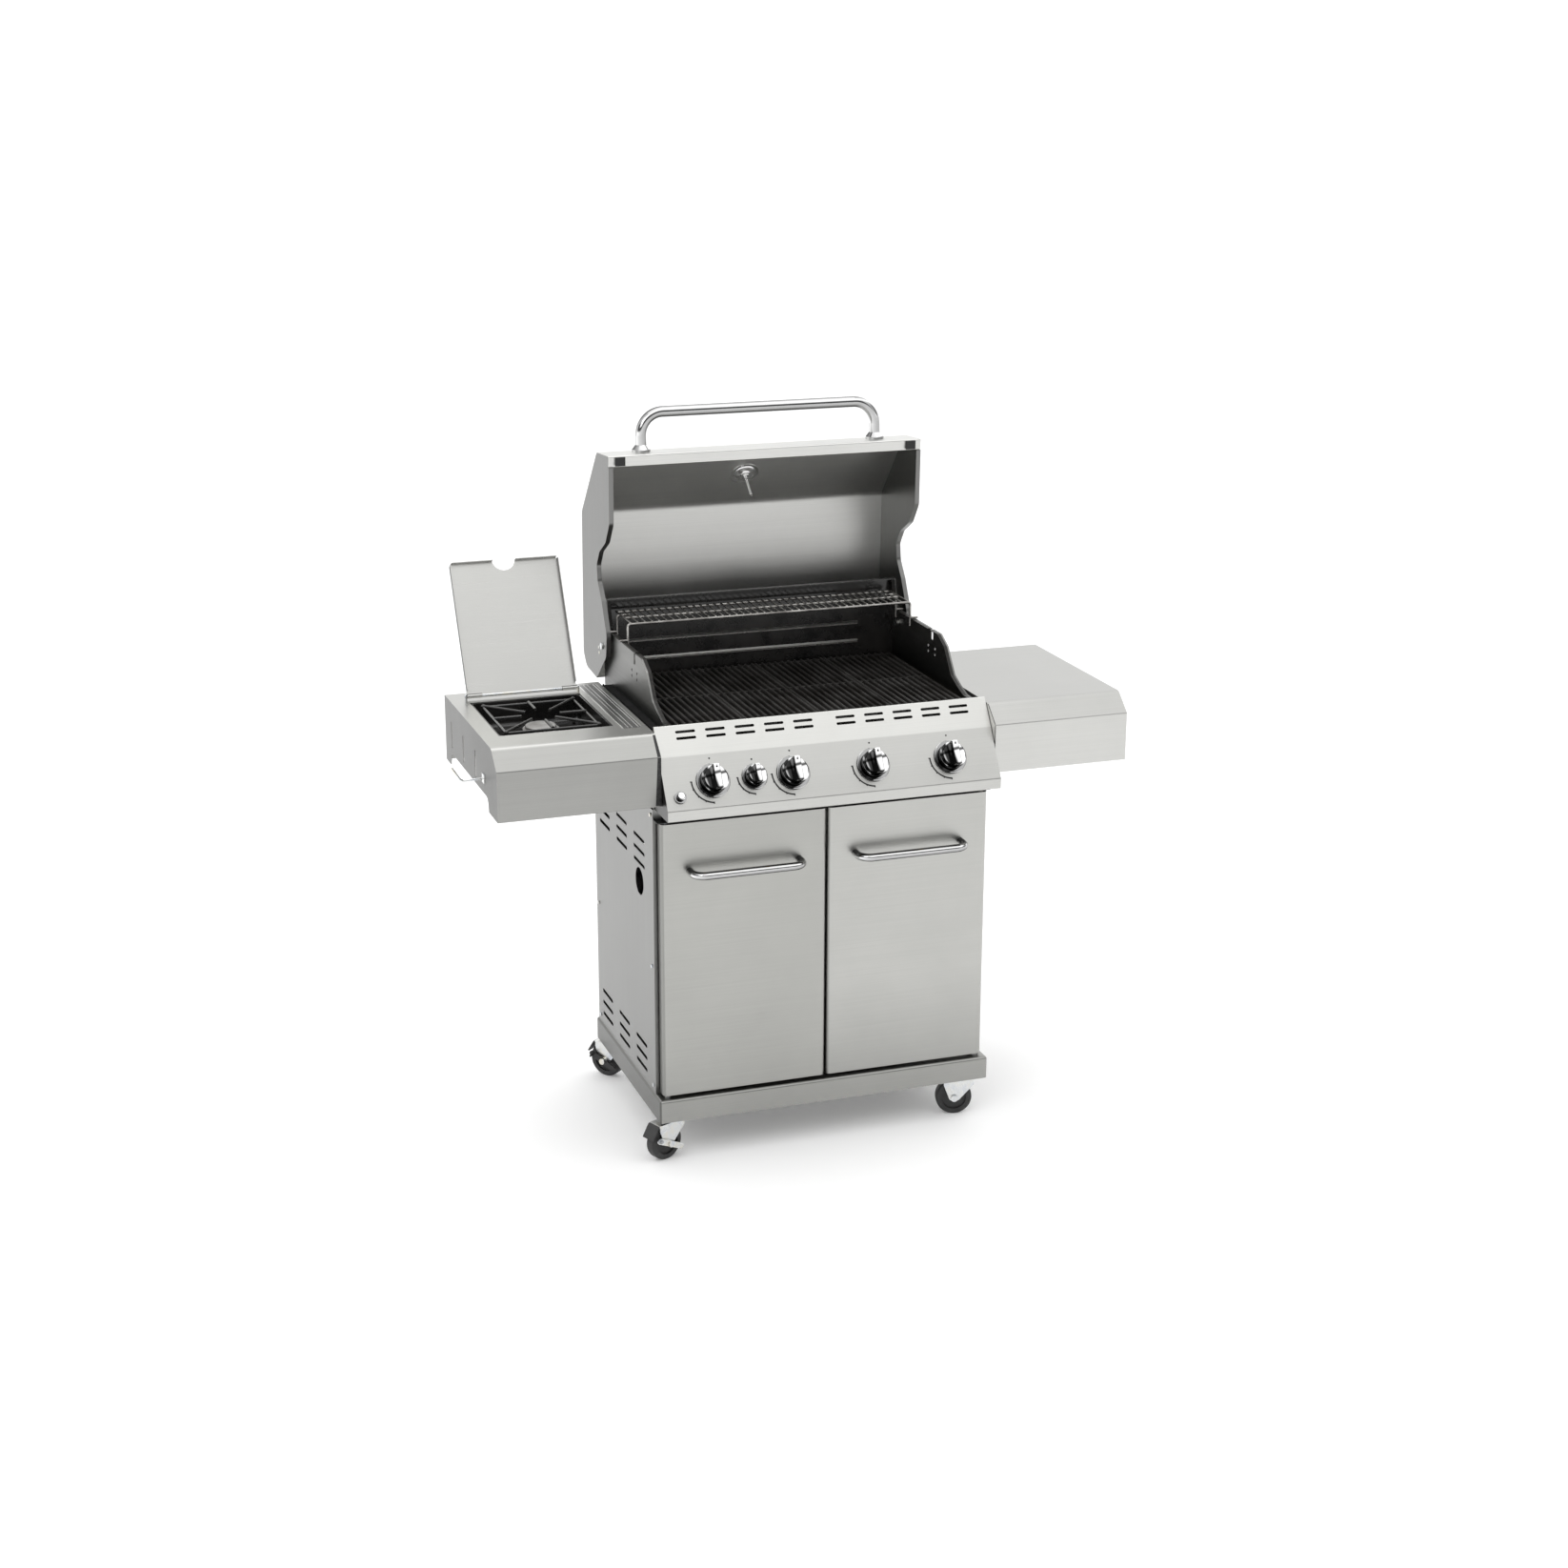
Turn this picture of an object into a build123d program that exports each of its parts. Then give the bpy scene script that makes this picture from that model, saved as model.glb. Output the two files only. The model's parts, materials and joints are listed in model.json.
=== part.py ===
"""Gas barbecue grill on casters, with a side burner, a lidded firebox and a two-door cabinet.

Lengths are in millimetres. While the grill is being built, X is 0 where the doors meet and runs
to the user's right, Y is 0 on the door fronts and runs to the back, and Z is 0 on the floor.
main() then moves the whole grill, so that its origin is the middle of its footprint on the floor.
"""

import os
from math import atan2, cos, degrees, hypot, radians, sin

from build123d import *

SHEET = 1.5
RUNNING_GAP = 0.05

# Cabinet
CART_HALF = 350.0
PAN_HALF = 353.5
PAN_FRONT, PAN_REAR = -11.0, 465.0
PAN_BOTTOM, PAN_TOP = 85.0, 132.0
PAN_RIM, PAN_BEND = 92.0, 6.0
CART_FRONT, CART_REAR = 31.0, 455.0
CART_TOP = 728.0
FLANGE = 18.0
TOP_FLANGE = 36.0
BACK_TOP, BACK_VENT_X, BACK_VENT_LOW, BACK_VENT_STEP = 690.0, 170.0, 480.0, 30.0
BACK_VENT = (160.0, 10.0)

# Louvres and the hose port in the side panels
LOUVRE_LENGTH, LOUVRE_HEIGHT, LOUVRE_STEP = 76.0, 8.0, 26.0
LOUVRE_COLUMNS = (128.0, 254.0, 382.0)
LOUVRE_LOW, LOUVRE_HIGH = 184.0, 616.0
PORT_Y, PORT_Z, PORT_RADIUS = 128.0, 551.0, 28.0

# Doors
DOOR_GAP, DOOR_EDGE = 1.5, 342.5
DOOR_BOTTOM, DOOR_TOP, DOOR_DEPTH = 138.0, 705.0, 25.0
DOOR_PIN_X, DOOR_PIN_Y, DOOR_PIN_RADIUS = 331.0, 12.0, 3.0
DOOR_COLLAR_RADIUS, DOOR_BEND, DOOR_LIP = 6.0, 9.0, 16.0
RAIL_Z, RAIL_FRONT, RAIL_REAR = 707.5, 3.0, 60.0
DOOR_HANDLE_Z, DOOR_HANDLE_HALF = 606.0, 113.0
DOOR_HANDLE_REACH, DOOR_HANDLE_RADIUS, DOOR_HANDLE_BEND = 38.0, 8.0, 24.0

# Control panel
PANEL_HALF = 345.0
PANEL_TOP = (34.0, 893.0)
PANEL_BREAK = (-0.5, 840.0)
PANEL_NOSE = (-57.0, 749.0)
PANEL_BACK = 37.0
PANEL_BENDS = [2.0, 8.0, 5.0, 2.0]
STEM_HOLE_RADIUS, TUBE_HOLE_RADIUS = 6.0, 8.0
FACE_TURN = degrees(atan2(PANEL_BREAK[0] - PANEL_NOSE[0], PANEL_BREAK[1] - PANEL_NOSE[1]))
VENT_LENGTH, VENT_HEIGHT, VENT_PITCH, VENT_ROWS = 40.0, 5.5, 60.0, (14.0, 27.0)
VENT_GROUPS = (-164.0, 164.0)
KNOBS = {1: (-246.0, 1.0), 2: (-162.0, 0.76), 3: (-83.0, 1.0), 4: (83.0, 1.0), 5: (246.0, 1.0)}
SIDE_BURNER_KNOB = 2
KNOB_RADIUS, BEZEL_RADIUS, BEZEL_HEIGHT = 27.0, 34.0, 6.0
KNOB_SKIRT, KNOB_DRUM, GRIP_HEIGHT, GRIP_WIDTH = 7.0, 14.0, 27.0, 13.5
KNOB_PUSH = 3.5
STEM_RADIUS = 4.0
IGNITER_X, IGNITER_DROP, IGNITER_PUSH = -316.0, 27.0, 4.0
IGNITER_RADIUS, IGNITER_SHANK_RADIUS, IGNITER_COLLAR_RADIUS = 8.0, 5.0, 12.0

# Gas train
VALVE_FRONT, VALVE_LENGTH, VALVE_RADIUS = -24.0, 28.0, 11.0
PIPE_RADIUS = 10.0
PIPE_DEPTH = VALVE_FRONT - VALVE_LENGTH - PIPE_RADIUS + 4
TUBE_Y, TUBE_Z, TUBE_RADIUS, TUBE_TOP = 24.0, 788.0, 5.0, 812.0
SPIGOT_HALF = 7.0
INLET_X, INLET_BOTTOM, INLET_RADIUS, INLET_LENGTH = 286.0, 714.0, 8.0, 16.0

# Firebox and what is in it
BOX_HALF = 317.5
END_SHEET = 2.5
BOX_FRONT, BOX_REAR = 38.0, 470.0
BOX_WALL = 2.0
BOX_RIM, BOX_BACK_TOP, BOX_SHOULDER, BOX_FOLD = 893.0, 1047.0, 986.0, 13.0
FLOOR_FRONT_Z, FLOOR_LOW, FLOOR_REAR_Z = 770.0, (255.0, 738.0), 790.0
GREASE_OUTLET = (280.0, 80.0)
REAR_SLOT_X, REAR_SLOTS_Z, REAR_SLOT = -15.0, (917.0, 957.0), (510.0, 5.0)
BURNERS_X = [x for number, (x, _) in KNOBS.items() if number != SIDE_BURNER_KNOB]
BURNER_Z, BURNER_RADIUS, BURNER_FRONT, BURNER_END = 815.0, 13.0, 12.0, 440.0
GRATE_TOP, GRATE_HEIGHT, GRATE_DEPTH, GRATE_COUNT, GRATE_BARS = 888.0, 14.0, 400.0, 4, 11
GRATE_FRONT, GRATE_BAR_WIDTH, GRATE_BAR_HEIGHT = 56.0, 6.0, 9.0
TENT_HALF, TENT_LOW, TENT_TOP = 52.0, 836.0, 862.0
END_TOP = [
    (BOX_REAR, BOX_BACK_TOP), (456, 1047), (441, 992), (420, BOX_SHOULDER), (200, BOX_SHOULDER),
    (164, 968), (126, 918), (96, 905), (60, BOX_RIM), (BOX_FRONT, BOX_RIM),
]
END_BENDS = [4, 8, 10, 14, 14, 20, 12, 6]
SPIT_Y, SPIT_Z = (230.0, 266.0), (935.0, 947.0)
SPIT_HOLE_RADIUS = 3.5
SPIT_SLOT = (241.0, 252.0, 963.0)
RACK_Z, RACK_FRONT, RACK_REAR, RACK_HALF = 1022.0, 340.0, 448.0, 300.0
RACK_WIRES, RACK_WIRE, RACK_FRAME, RACK_REAR_LEG = 41, 1.8, 2.5, 420.0
TRAY_HALF, TRAY_FRONT, TRAY_FLOOR, TRAY_TOP = 152.0, 110.0, 702.0, 722.5
TRAY_GRIP_HALF = 60.0
HANGER_REAR, HANGER_BOTTOM = 452.0, 719.0

# Hood, drawn closed and then swung open about its pivot
PIVOT_Y, PIVOT_Z, PIVOT_RADIUS, BOLT_HEAD_RADIUS = 434.0, 957.0, 4.0, 7.0
HOOD_TURN = 88.5
HOOD_HALF = 333.5
HOOD_OUTLINE = [
    (52.0, 900.5), (30.0, 898.0), (38.0, 987.0), (185.0, 1108.5),
    (486.0, 1108.5), (511.0, 1084.0), (515.0, 1006.0),
]
HOOD_BENDS = [3.0, 16.0, 24.0, 26.0, 26.0]
HOOD_END_EDGE = [
    (53, 898), (168, 898), (212, 928), (240, 974), (272, 996),
    (306, 990), (340, 962), (404, 926), (452, 932), (515, 1006),
]
HOOD_END_BENDS = [24, 30, 18, 14, 20, 26, 24, 22]
HOOD_HANDLE_HALF, HOOD_HANDLE_REACH, HOOD_HANDLE_RADIUS = 251.0, 78.0, 11.0
HOOD_HANDLE_PART, HOOD_HANDLE_BEND, HOOD_FOOT_RADIUS = 0.58, 46.0, 19.0
DIAL_RADIUS, DIAL_DEPTH, DIAL_NECK_RADIUS, PROBE_RADIUS = 38.0, 12.0, 6.9, 3.0
PAD_X, PAD_HALF = 310.0, 10.0

# Shelves and side burner
SHELF_TOP, SHELF_SLOPE, SHELF_BREAK = 884.0, 22.0, (-19.0, 848.0)
SHELF_BOTTOM, SHELF_REAR, SHELF_START = 749.0, 430.0, 346.0
SHELF_BENDS = [3.0, 18.0, 4.0, 2.0]
SHELF_ARCH = [(52.0, 740.0), (60.0, 776.0), (380.0, 776.0), (392.0, 740.0)]
SHELF_SLOTS_Y, SHELF_SLOT_LOW, SHELF_SLOT_HIGH = (162.0, 267.0, 372.0), 788.0, 842.0
LEFT_END, RIGHT_END = 666.0, 636.5
HOB_LEFT, HOB_RIGHT, HOB_FRONT, HOB_REAR = -632.0, -406.0, 100.0, 350.0
HOB_X, HOB_Y = (HOB_LEFT + HOB_RIGHT) / 2, (HOB_FRONT + HOB_REAR) / 2
HOB_FLOOR = 829.0
LID_Y, LID_Z, LID_LENGTH, LID_TURN = 372.0, 892.0, 277.0, 118.5

# Casters: place of the swivel, heading of the trail, whether it has a brake
WHEEL_RADIUS, WHEEL_HALF, TRAIL, AXLE_RADIUS = 37.5, 11.0, 24.0, 4.0
CROWN_Z, CROWN_THICKNESS, CROWN_TAIL, CROWN_NOSE = 76.6, 2.5, -17.0, 46.0
PLATE_Z, FORK_HALF, GUARD_THICKNESS = 82.0, 16.0, 3.0
LEVER_INNER, LEVER_THICKNESS, LEVER_LENGTH, LEVER_WIDTH = 20.1, 2.5, 72.0, 12.0
LEVER_TILT, LEVER_TAB = 25.0, 9.0
CASTERS = {
    "front_left": (-318.0, 22.0, 203.0, True),
    "front_right": (318.0, 22.0, 165.0, False),
    "rear_left": (-318.0, 432.0, 130.0, True),
    "rear_right": (318.0, 432.0, 150.0, False),
}


def block(low, high):
    """A box between two opposite corners."""
    size = [b - a for a, b in zip(low, high)]
    middle = [(a + b) / 2 for a, b in zip(low, high)]
    return Pos(*middle) * Box(*size)


def mirrored_pair(part):
    """A part and its mirror image across X = 0."""
    return part + mirror(part, Plane.YZ)


def bar(start, end, radius):
    """A round bar from start to end."""
    along = Vector(*end) - Vector(*start)
    return extrude(Plane(origin=start, z_dir=along) * Circle(radius), along.length)


def bent_tube(points, bend, radius):
    """A round tube along straight runs joined by bends."""
    path = FilletPolyline(*points, radius=bend)
    return sweep(Plane(origin=path @ 0, z_dir=path % 0) * Circle(radius), path=path)


def outline(points, radii, low, high):
    """A closed outline of (Y, Z) points with rounded corners, made solid from X = low to high."""
    plane = Plane(origin=(low, 0, 0), x_dir=(0, 1, 0), z_dir=(1, 0, 0))
    edge = FilletPolyline(*points, radius=radii, close=True)
    return extrude(plane * make_face(edge), high - low)


def parallel(points, gap):
    """The open line of (Y, Z) points moved sideways, to its left if gap is positive."""
    runs = [(b[0] - a[0], b[1] - a[1]) for a, b in zip(points, points[1:])]
    normals = [(-dz / hypot(dy, dz), dy / hypot(dy, dz)) for dy, dz in runs]
    moved = []
    for place, point in enumerate(points):
        before = normals[max(place - 1, 0)]
        after = normals[min(place, len(normals) - 1)]
        scale = gap / (1 + before[0] * after[0] + before[1] * after[1])
        moved.append((point[0] + scale * (before[0] + after[0]), point[1] + scale * (before[1] + after[1])))
    return moved


def bend_signs(points):
    """For each inner corner of an open line, 1 where it turns left and -1 where it turns right."""
    signs = []
    for a, b, c in zip(points, points[1:], points[2:]):
        turn = (b[0] - a[0]) * (c[1] - b[1]) - (b[1] - a[1]) * (c[0] - b[0])
        signs.append(1 if turn > 0 else -1)
    return signs


def folded_sheet(points, thickness, bends, low, high):
    """Sheet metal folded along a line of (Y, Z) points, with its thickness on the line's left.

    bends has the radius of each inner corner, measured on the line itself.
    """
    far = parallel(points, thickness)
    near_radii = [0.0] + list(bends) + [0.0]
    far_radii = [max(r - s * thickness, 0.0) for r, s in zip(bends, bend_signs(points))]
    radii = near_radii + [0.0] + far_radii[::-1] + [0.0]
    return outline(points + far[::-1], radii, low, high)


# ---------------------------------------------------------------- cabinet


def make_base_pan():
    """Inverted tray under the cabinet, with a rim below that the casters bolt to."""
    pan = block((-PAN_HALF, PAN_FRONT, PAN_BOTTOM), (PAN_HALF, PAN_REAR, PAN_TOP))
    pan = fillet(pan.edges().group_by(Axis.Z)[-1] + pan.edges().filter_by(Axis.Z), PAN_BEND)
    inside = block(
        (SHEET - PAN_HALF, PAN_FRONT + SHEET, PAN_BOTTOM + 2 * SHEET),
        (PAN_HALF - SHEET, PAN_REAR - SHEET, PAN_TOP - SHEET),
    )
    inside = fillet(inside.edges().group_by(Axis.Z)[-1] + inside.edges().filter_by(Axis.Z), PAN_BEND - SHEET)
    hatch = block(
        (PAN_RIM - PAN_HALF, PAN_FRONT + PAN_RIM, PAN_BOTTOM - 1),
        (PAN_HALF - PAN_RIM, PAN_REAR - PAN_RIM, PAN_BOTTOM + 3 * SHEET),
    )
    return pan - inside - hatch


def louvres():
    """Cutters for the two groups of louvres in the right-hand side panel."""
    cutters = []
    for row_middle in (LOUVRE_LOW, LOUVRE_HIGH):
        for column in LOUVRE_COLUMNS:
            for row in (-1, 0, 1):
                origin = (CART_HALF, column, row_middle + row * LOUVRE_STEP)
                plane = Plane(origin=origin, x_dir=(0, 1, 0), z_dir=(1, 0, 0))
                cutters.append(extrude(plane * SlotOverall(LOUVRE_LENGTH, LOUVRE_HEIGHT), 8, both=True))
    return cutters


def make_side_panel(side):
    """Side of the cabinet, folded in at the front, the back and the top."""
    wall = block((CART_HALF - SHEET, CART_FRONT, PAN_TOP), (CART_HALF, CART_REAR, CART_TOP))
    front = block((CART_HALF - FLANGE, CART_FRONT, PAN_TOP), (CART_HALF, CART_FRONT + SHEET, CART_TOP))
    rear = block((CART_HALF - FLANGE, CART_REAR - SHEET, PAN_TOP), (CART_HALF, CART_REAR, CART_TOP))
    top = block((CART_HALF - TOP_FLANGE, CART_FRONT, CART_TOP - SHEET), (CART_HALF, CART_REAR, CART_TOP))
    panel = wall + front + rear + top - louvres()
    if side > 0:
        return panel
    port = Plane(origin=(CART_HALF, PORT_Y, PORT_Z), z_dir=(1, 0, 0)) * Circle(PORT_RADIUS)
    return mirror(panel - extrude(port, 8, both=True), Plane.YZ)


def make_back_panel():
    """Back of the cabinet, with vents, and open above for the grease tray."""
    panel = block((1 - CART_HALF, CART_REAR, PAN_TOP + 0.5), (CART_HALF - 1, CART_REAR + SHEET, BACK_TOP))
    for x in (-BACK_VENT_X, BACK_VENT_X):
        for row in range(5):
            origin = (x, CART_REAR, BACK_VENT_LOW + BACK_VENT_STEP * row)
            plane = Plane(origin=origin, x_dir=(1, 0, 0), z_dir=(0, 1, 0))
            panel -= extrude(plane * SlotOverall(*BACK_VENT), 8, both=True)
    return panel


def make_cross_rail():
    """Rail over the doors that ties the side panels together and carries the upper hinge pins."""
    shelf = block((-CART_HALF + 1, RAIL_FRONT, RAIL_Z), (CART_HALF - 1, CART_FRONT, RAIL_Z + SHEET))
    half = CART_HALF - FLANGE
    shelf += block((-half, CART_FRONT, RAIL_Z), (half, RAIL_REAR, RAIL_Z + SHEET))
    return shelf + block((-half, RAIL_REAR - SHEET, RAIL_Z), (half, RAIL_REAR, CART_TOP - SHEET))


def make_hinge_pins():
    """Door hinge pins with their collars, and the two bolts that the hood turns on."""
    pins = Part()
    for z, way in ((PAN_TOP, 1), (RAIL_Z, -1)):
        gap = abs((DOOR_BOTTOM if way > 0 else DOOR_TOP) - z) - 0.3
        foot = (DOOR_PIN_X, DOOR_PIN_Y, z)
        pins += bar(foot, (DOOR_PIN_X, DOOR_PIN_Y, z + way * (gap + 4)), DOOR_PIN_RADIUS)
        pins += bar(foot, (DOOR_PIN_X, DOOR_PIN_Y, z + way * gap), DOOR_COLLAR_RADIUS)
    inner = BOX_HALF + END_SHEET
    pins += bar((BOX_HALF - 6, PIVOT_Y, PIVOT_Z), (HOOD_HALF + 4, PIVOT_Y, PIVOT_Z), PIVOT_RADIUS)
    pins += bar((BOX_HALF - 6, PIVOT_Y, PIVOT_Z), (BOX_HALF, PIVOT_Y, PIVOT_Z), BOLT_HEAD_RADIUS)
    pins += bar((inner, PIVOT_Y, PIVOT_Z), (HOOD_HALF - SHEET - 0.3, PIVOT_Y, PIVOT_Z), BOLT_HEAD_RADIUS)
    pins += bar((HOOD_HALF + 0.3, PIVOT_Y, PIVOT_Z), (HOOD_HALF + 4, PIVOT_Y, PIVOT_Z), BOLT_HEAD_RADIUS)
    return mirrored_pair(pins)


def make_door(side):
    """Door pan with rounded upright edges and a lip around its open back."""
    low, high = (DOOR_GAP, 0, DOOR_BOTTOM), (DOOR_EDGE, DOOR_DEPTH, DOOR_TOP)
    door = block(low, high)
    door = fillet(door.edges().group_by(Axis.Y)[0].filter_by(Axis.Z), DOOR_BEND)
    inside = block([v + SHEET for v in low], [v - SHEET for v in high])
    inside = fillet(inside.edges().group_by(Axis.Y)[0].filter_by(Axis.Z), DOOR_BEND - SHEET)
    window = block(
        (DOOR_GAP + DOOR_LIP, DOOR_DEPTH - 5, DOOR_BOTTOM + DOOR_LIP),
        (DOOR_EDGE - DOOR_LIP, DOOR_DEPTH + 1, DOOR_TOP - DOOR_LIP),
    )
    bore = bar((DOOR_PIN_X, DOOR_PIN_Y, 0), (DOOR_PIN_X, DOOR_PIN_Y, 900), DOOR_PIN_RADIUS + RUNNING_GAP)
    door = door - inside - window - bore
    return door if side > 0 else mirror(door, Plane.YZ)


def make_door_handle(side):
    """Bent tube handle, centred on its door."""
    middle = side * (DOOR_GAP + DOOR_EDGE) / 2
    left, right = middle - DOOR_HANDLE_HALF, middle + DOOR_HANDLE_HALF
    reach = -DOOR_HANDLE_REACH
    points = [(left, 0), (left, reach), (right, reach), (right, 0)]
    return bent_tube([(x, y, DOOR_HANDLE_Z) for x, y in points], DOOR_HANDLE_BEND, DOOR_HANDLE_RADIUS)


# ---------------------------------------------------------------- control panel


def on_face(x, drop=0.0, lift=0.0):
    """The plane on the slanted face at x, drop below its middle and lift in front of it, facing out."""
    up = (sin(radians(FACE_TURN)), cos(radians(FACE_TURN)))
    out = (-up[1], up[0])
    y = (PANEL_BREAK[0] + PANEL_NOSE[0]) / 2 - drop * up[0] + lift * out[0]
    z = (PANEL_BREAK[1] + PANEL_NOSE[1]) / 2 - drop * up[1] + lift * out[1]
    return Plane(origin=(x, y, z), x_dir=(1, 0, 0), z_dir=(0, out[0], out[1]))


def on_upper_face(x, down):
    """The plane on the face above the knobs at x, down from its top edge, facing out."""
    run = (PANEL_BREAK[0] - PANEL_TOP[0], PANEL_BREAK[1] - PANEL_TOP[1])
    part = down / hypot(*run)
    y, z = PANEL_TOP[0] + part * run[0], PANEL_TOP[1] + part * run[1]
    return Plane(origin=(x, y, z), x_dir=(1, 0, 0), z_dir=(0, run[1], -run[0]))


def make_control_panel():
    """Folded front panel with closed ends, vent slots, and holes for the valve stems and igniter."""
    front = [(PANEL_BACK, PANEL_TOP[1]), PANEL_TOP, PANEL_BREAK, PANEL_NOSE, (PANEL_NOSE[0], CART_TOP)]
    front.append((PANEL_NOSE[0] + 14, CART_TOP))
    panel = folded_sheet(front, SHEET, PANEL_BENDS, -PANEL_HALF, PANEL_HALF)
    end = [(PANEL_BACK, PANEL_TOP[1]), PANEL_TOP, PANEL_BREAK, PANEL_NOSE, (PANEL_NOSE[0], CART_TOP)]
    end.append((PANEL_BACK, CART_TOP))
    cap = outline(end, [0, *PANEL_BENDS, 0], PANEL_HALF - SHEET, PANEL_HALF)
    cap -= bar((0, TUBE_Y, TUBE_Z), (PANEL_HALF + 9, TUBE_Y, TUBE_Z), TUBE_HOLE_RADIUS)
    panel += mirrored_pair(cap)
    for group in VENT_GROUPS:
        for place in range(-2, 3):
            for down in VENT_ROWS:
                plane = on_upper_face(group + place * VENT_PITCH, down)
                panel -= extrude(plane * SlotOverall(VENT_LENGTH, VENT_HEIGHT), 6, both=True)
    for x, _ in KNOBS.values():
        panel -= extrude(on_face(x) * Circle(STEM_HOLE_RADIUS), 6, both=True)
    return panel - extrude(on_face(IGNITER_X, IGNITER_DROP) * Circle(STEM_HOLE_RADIUS), 6, both=True)


def make_knob_bezels():
    """Stepped dial rings behind the knobs, and the collar around the igniter button."""
    rings = Part()
    for x, scale in KNOBS.values():
        face = on_face(x)
        rim = extrude(face * Circle(BEZEL_RADIUS * scale), BEZEL_HEIGHT / 2)
        step = extrude(face * Circle((BEZEL_RADIUS - 4) * scale), BEZEL_HEIGHT)
        ring = chamfer(rim.edges().filter_by(GeomType.CIRCLE).sort_by(Axis.Y)[0], 1) + step
        rings += ring - extrude(face * Circle(STEM_HOLE_RADIUS), 20, both=True)
    face = on_face(IGNITER_X, IGNITER_DROP)
    collar = extrude(face * Circle(IGNITER_COLLAR_RADIUS), 4)
    return rings + collar - extrude(face * Circle(IGNITER_RADIUS + 0.3), 20, both=True)


def make_knob(number):
    """Knob: a drum on a skirt, with a grip bar across it and a marker dot at its top end."""
    x, scale = KNOBS[number]
    radius = KNOB_RADIUS * scale
    back = BEZEL_HEIGHT + KNOB_PUSH + 1
    face = on_face(x, lift=back)
    skirt = extrude(face * Circle(radius), KNOB_SKIRT)
    drum = extrude(face * Circle(radius * 0.87), KNOB_DRUM, taper=4)
    top = GRIP_HEIGHT * scale + 3
    grip = extrude(face * Circle(radius * 0.9), top)
    grip &= extrude(face * Rectangle(GRIP_WIDTH * scale, 3 * radius), top)
    grip = fillet(grip.edges().group_by(Axis(face.origin, face.z_dir))[-1], 2)
    knob = skirt + drum + grip
    knob -= extrude(face * Pos(0, radius * 0.72, top - 1) * Circle(1.6), 2)
    return knob - extrude(face * Circle(STEM_RADIUS + RUNNING_GAP), 12)


def make_valve_stem(number):
    """Round stem that carries the knob and slides into its valve."""
    x, _ = KNOBS[number]
    front = on_face(x, lift=BEZEL_HEIGHT + KNOB_PUSH + 12)
    return extrude(front * Circle(STEM_RADIUS), -(BEZEL_HEIGHT + KNOB_PUSH + 12 + 34))


def make_igniter_button():
    """Push button with its shank."""
    face = on_face(IGNITER_X, IGNITER_DROP)
    cap = extrude(face * Pos(0, 0, IGNITER_PUSH + 1) * Circle(IGNITER_RADIUS), 8)
    cap = fillet(cap.edges().group_by(Axis(face.origin, face.z_dir))[-1], 3)
    return cap + extrude(face * Pos(0, 0, -22) * Circle(IGNITER_SHANK_RADIUS), 28)


# ---------------------------------------------------------------- gas train


def pipe_centre():
    """Where the manifold pipe runs, as (Y, Z)."""
    origin = on_face(0, lift=PIPE_DEPTH).origin
    return origin.Y, origin.Z


def make_gas_manifold():
    """Closed pipe behind the panel, with a bracket at each end and the threaded gas inlet below."""
    y, z = pipe_centre()
    pipe = bar((-300, y, z), (300, y, z), PIPE_RADIUS) - bar((-296, y, z), (296, y, z), PIPE_RADIUS - 2)
    pipe += mirrored_pair(block((200, y, z - 5), (216, BOX_FRONT, z + 5)))
    pipe += bar((INLET_X, y, z - PIPE_RADIUS + 1), (INLET_X, y, INLET_BOTTOM + INLET_LENGTH), 6)
    hexagon = Plane(origin=(INLET_X, y, INLET_BOTTOM + INLET_LENGTH)) * RegularPolygon(11, 6)
    pipe += extrude(hexagon, 10)
    pipe += bar((INLET_X, y, INLET_BOTTOM + INLET_LENGTH), (INLET_X, y, INLET_BOTTOM), INLET_RADIUS)
    pipe -= bar((INLET_X, y, INLET_BOTTOM - 1), (INLET_X, y, z), 4)
    for x, _ in KNOBS.values():
        pipe -= extrude(on_face(x, lift=VALVE_FRONT) * Circle(VALVE_RADIUS), -VALVE_LENGTH - 4)
    return pipe


def make_gas_valves():
    """Valve bodies, each with a blind bore for its stem and a jet that points at its burner."""
    valves = Part()
    for number, (x, _) in KNOBS.items():
        body = extrude(on_face(x, lift=VALVE_FRONT) * Circle(VALVE_RADIUS), -VALVE_LENGTH)
        middle = on_face(x, lift=VALVE_FRONT - VALVE_LENGTH * 0.6).origin
        if number == SIDE_BURNER_KNOB:
            low = (x - SPIGOT_HALF, 0, TUBE_Z - SPIGOT_HALF - 3)
            body += block(low, (x + SPIGOT_HALF, TUBE_Y + SPIGOT_HALF, TUBE_Z + SPIGOT_HALF))
        else:
            jet = [(x, middle.Y, middle.Z), (x, middle.Y, BURNER_Z), (x, middle.Y + 14, BURNER_Z)]
            body += bent_tube(jet, 6, 3.5)
        bore = on_face(x, lift=VALVE_FRONT + 1) * Circle(STEM_RADIUS + RUNNING_GAP)
        valves += body - extrude(bore, -VALVE_LENGTH * 0.6)
    return valves


def make_side_burner_supply():
    """Rigid tube from the second valve through the panel's end to the side burner."""
    x = KNOBS[SIDE_BURNER_KNOB][0] - SPIGOT_HALF
    points = [(x, TUBE_Y, TUBE_Z), (HOB_X, TUBE_Y, TUBE_Z), (HOB_X, HOB_Y, TUBE_Z), (HOB_X, HOB_Y, TUBE_TOP)]
    return bent_tube(points, [28, 15], TUBE_RADIUS)


# ---------------------------------------------------------------- firebox


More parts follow.
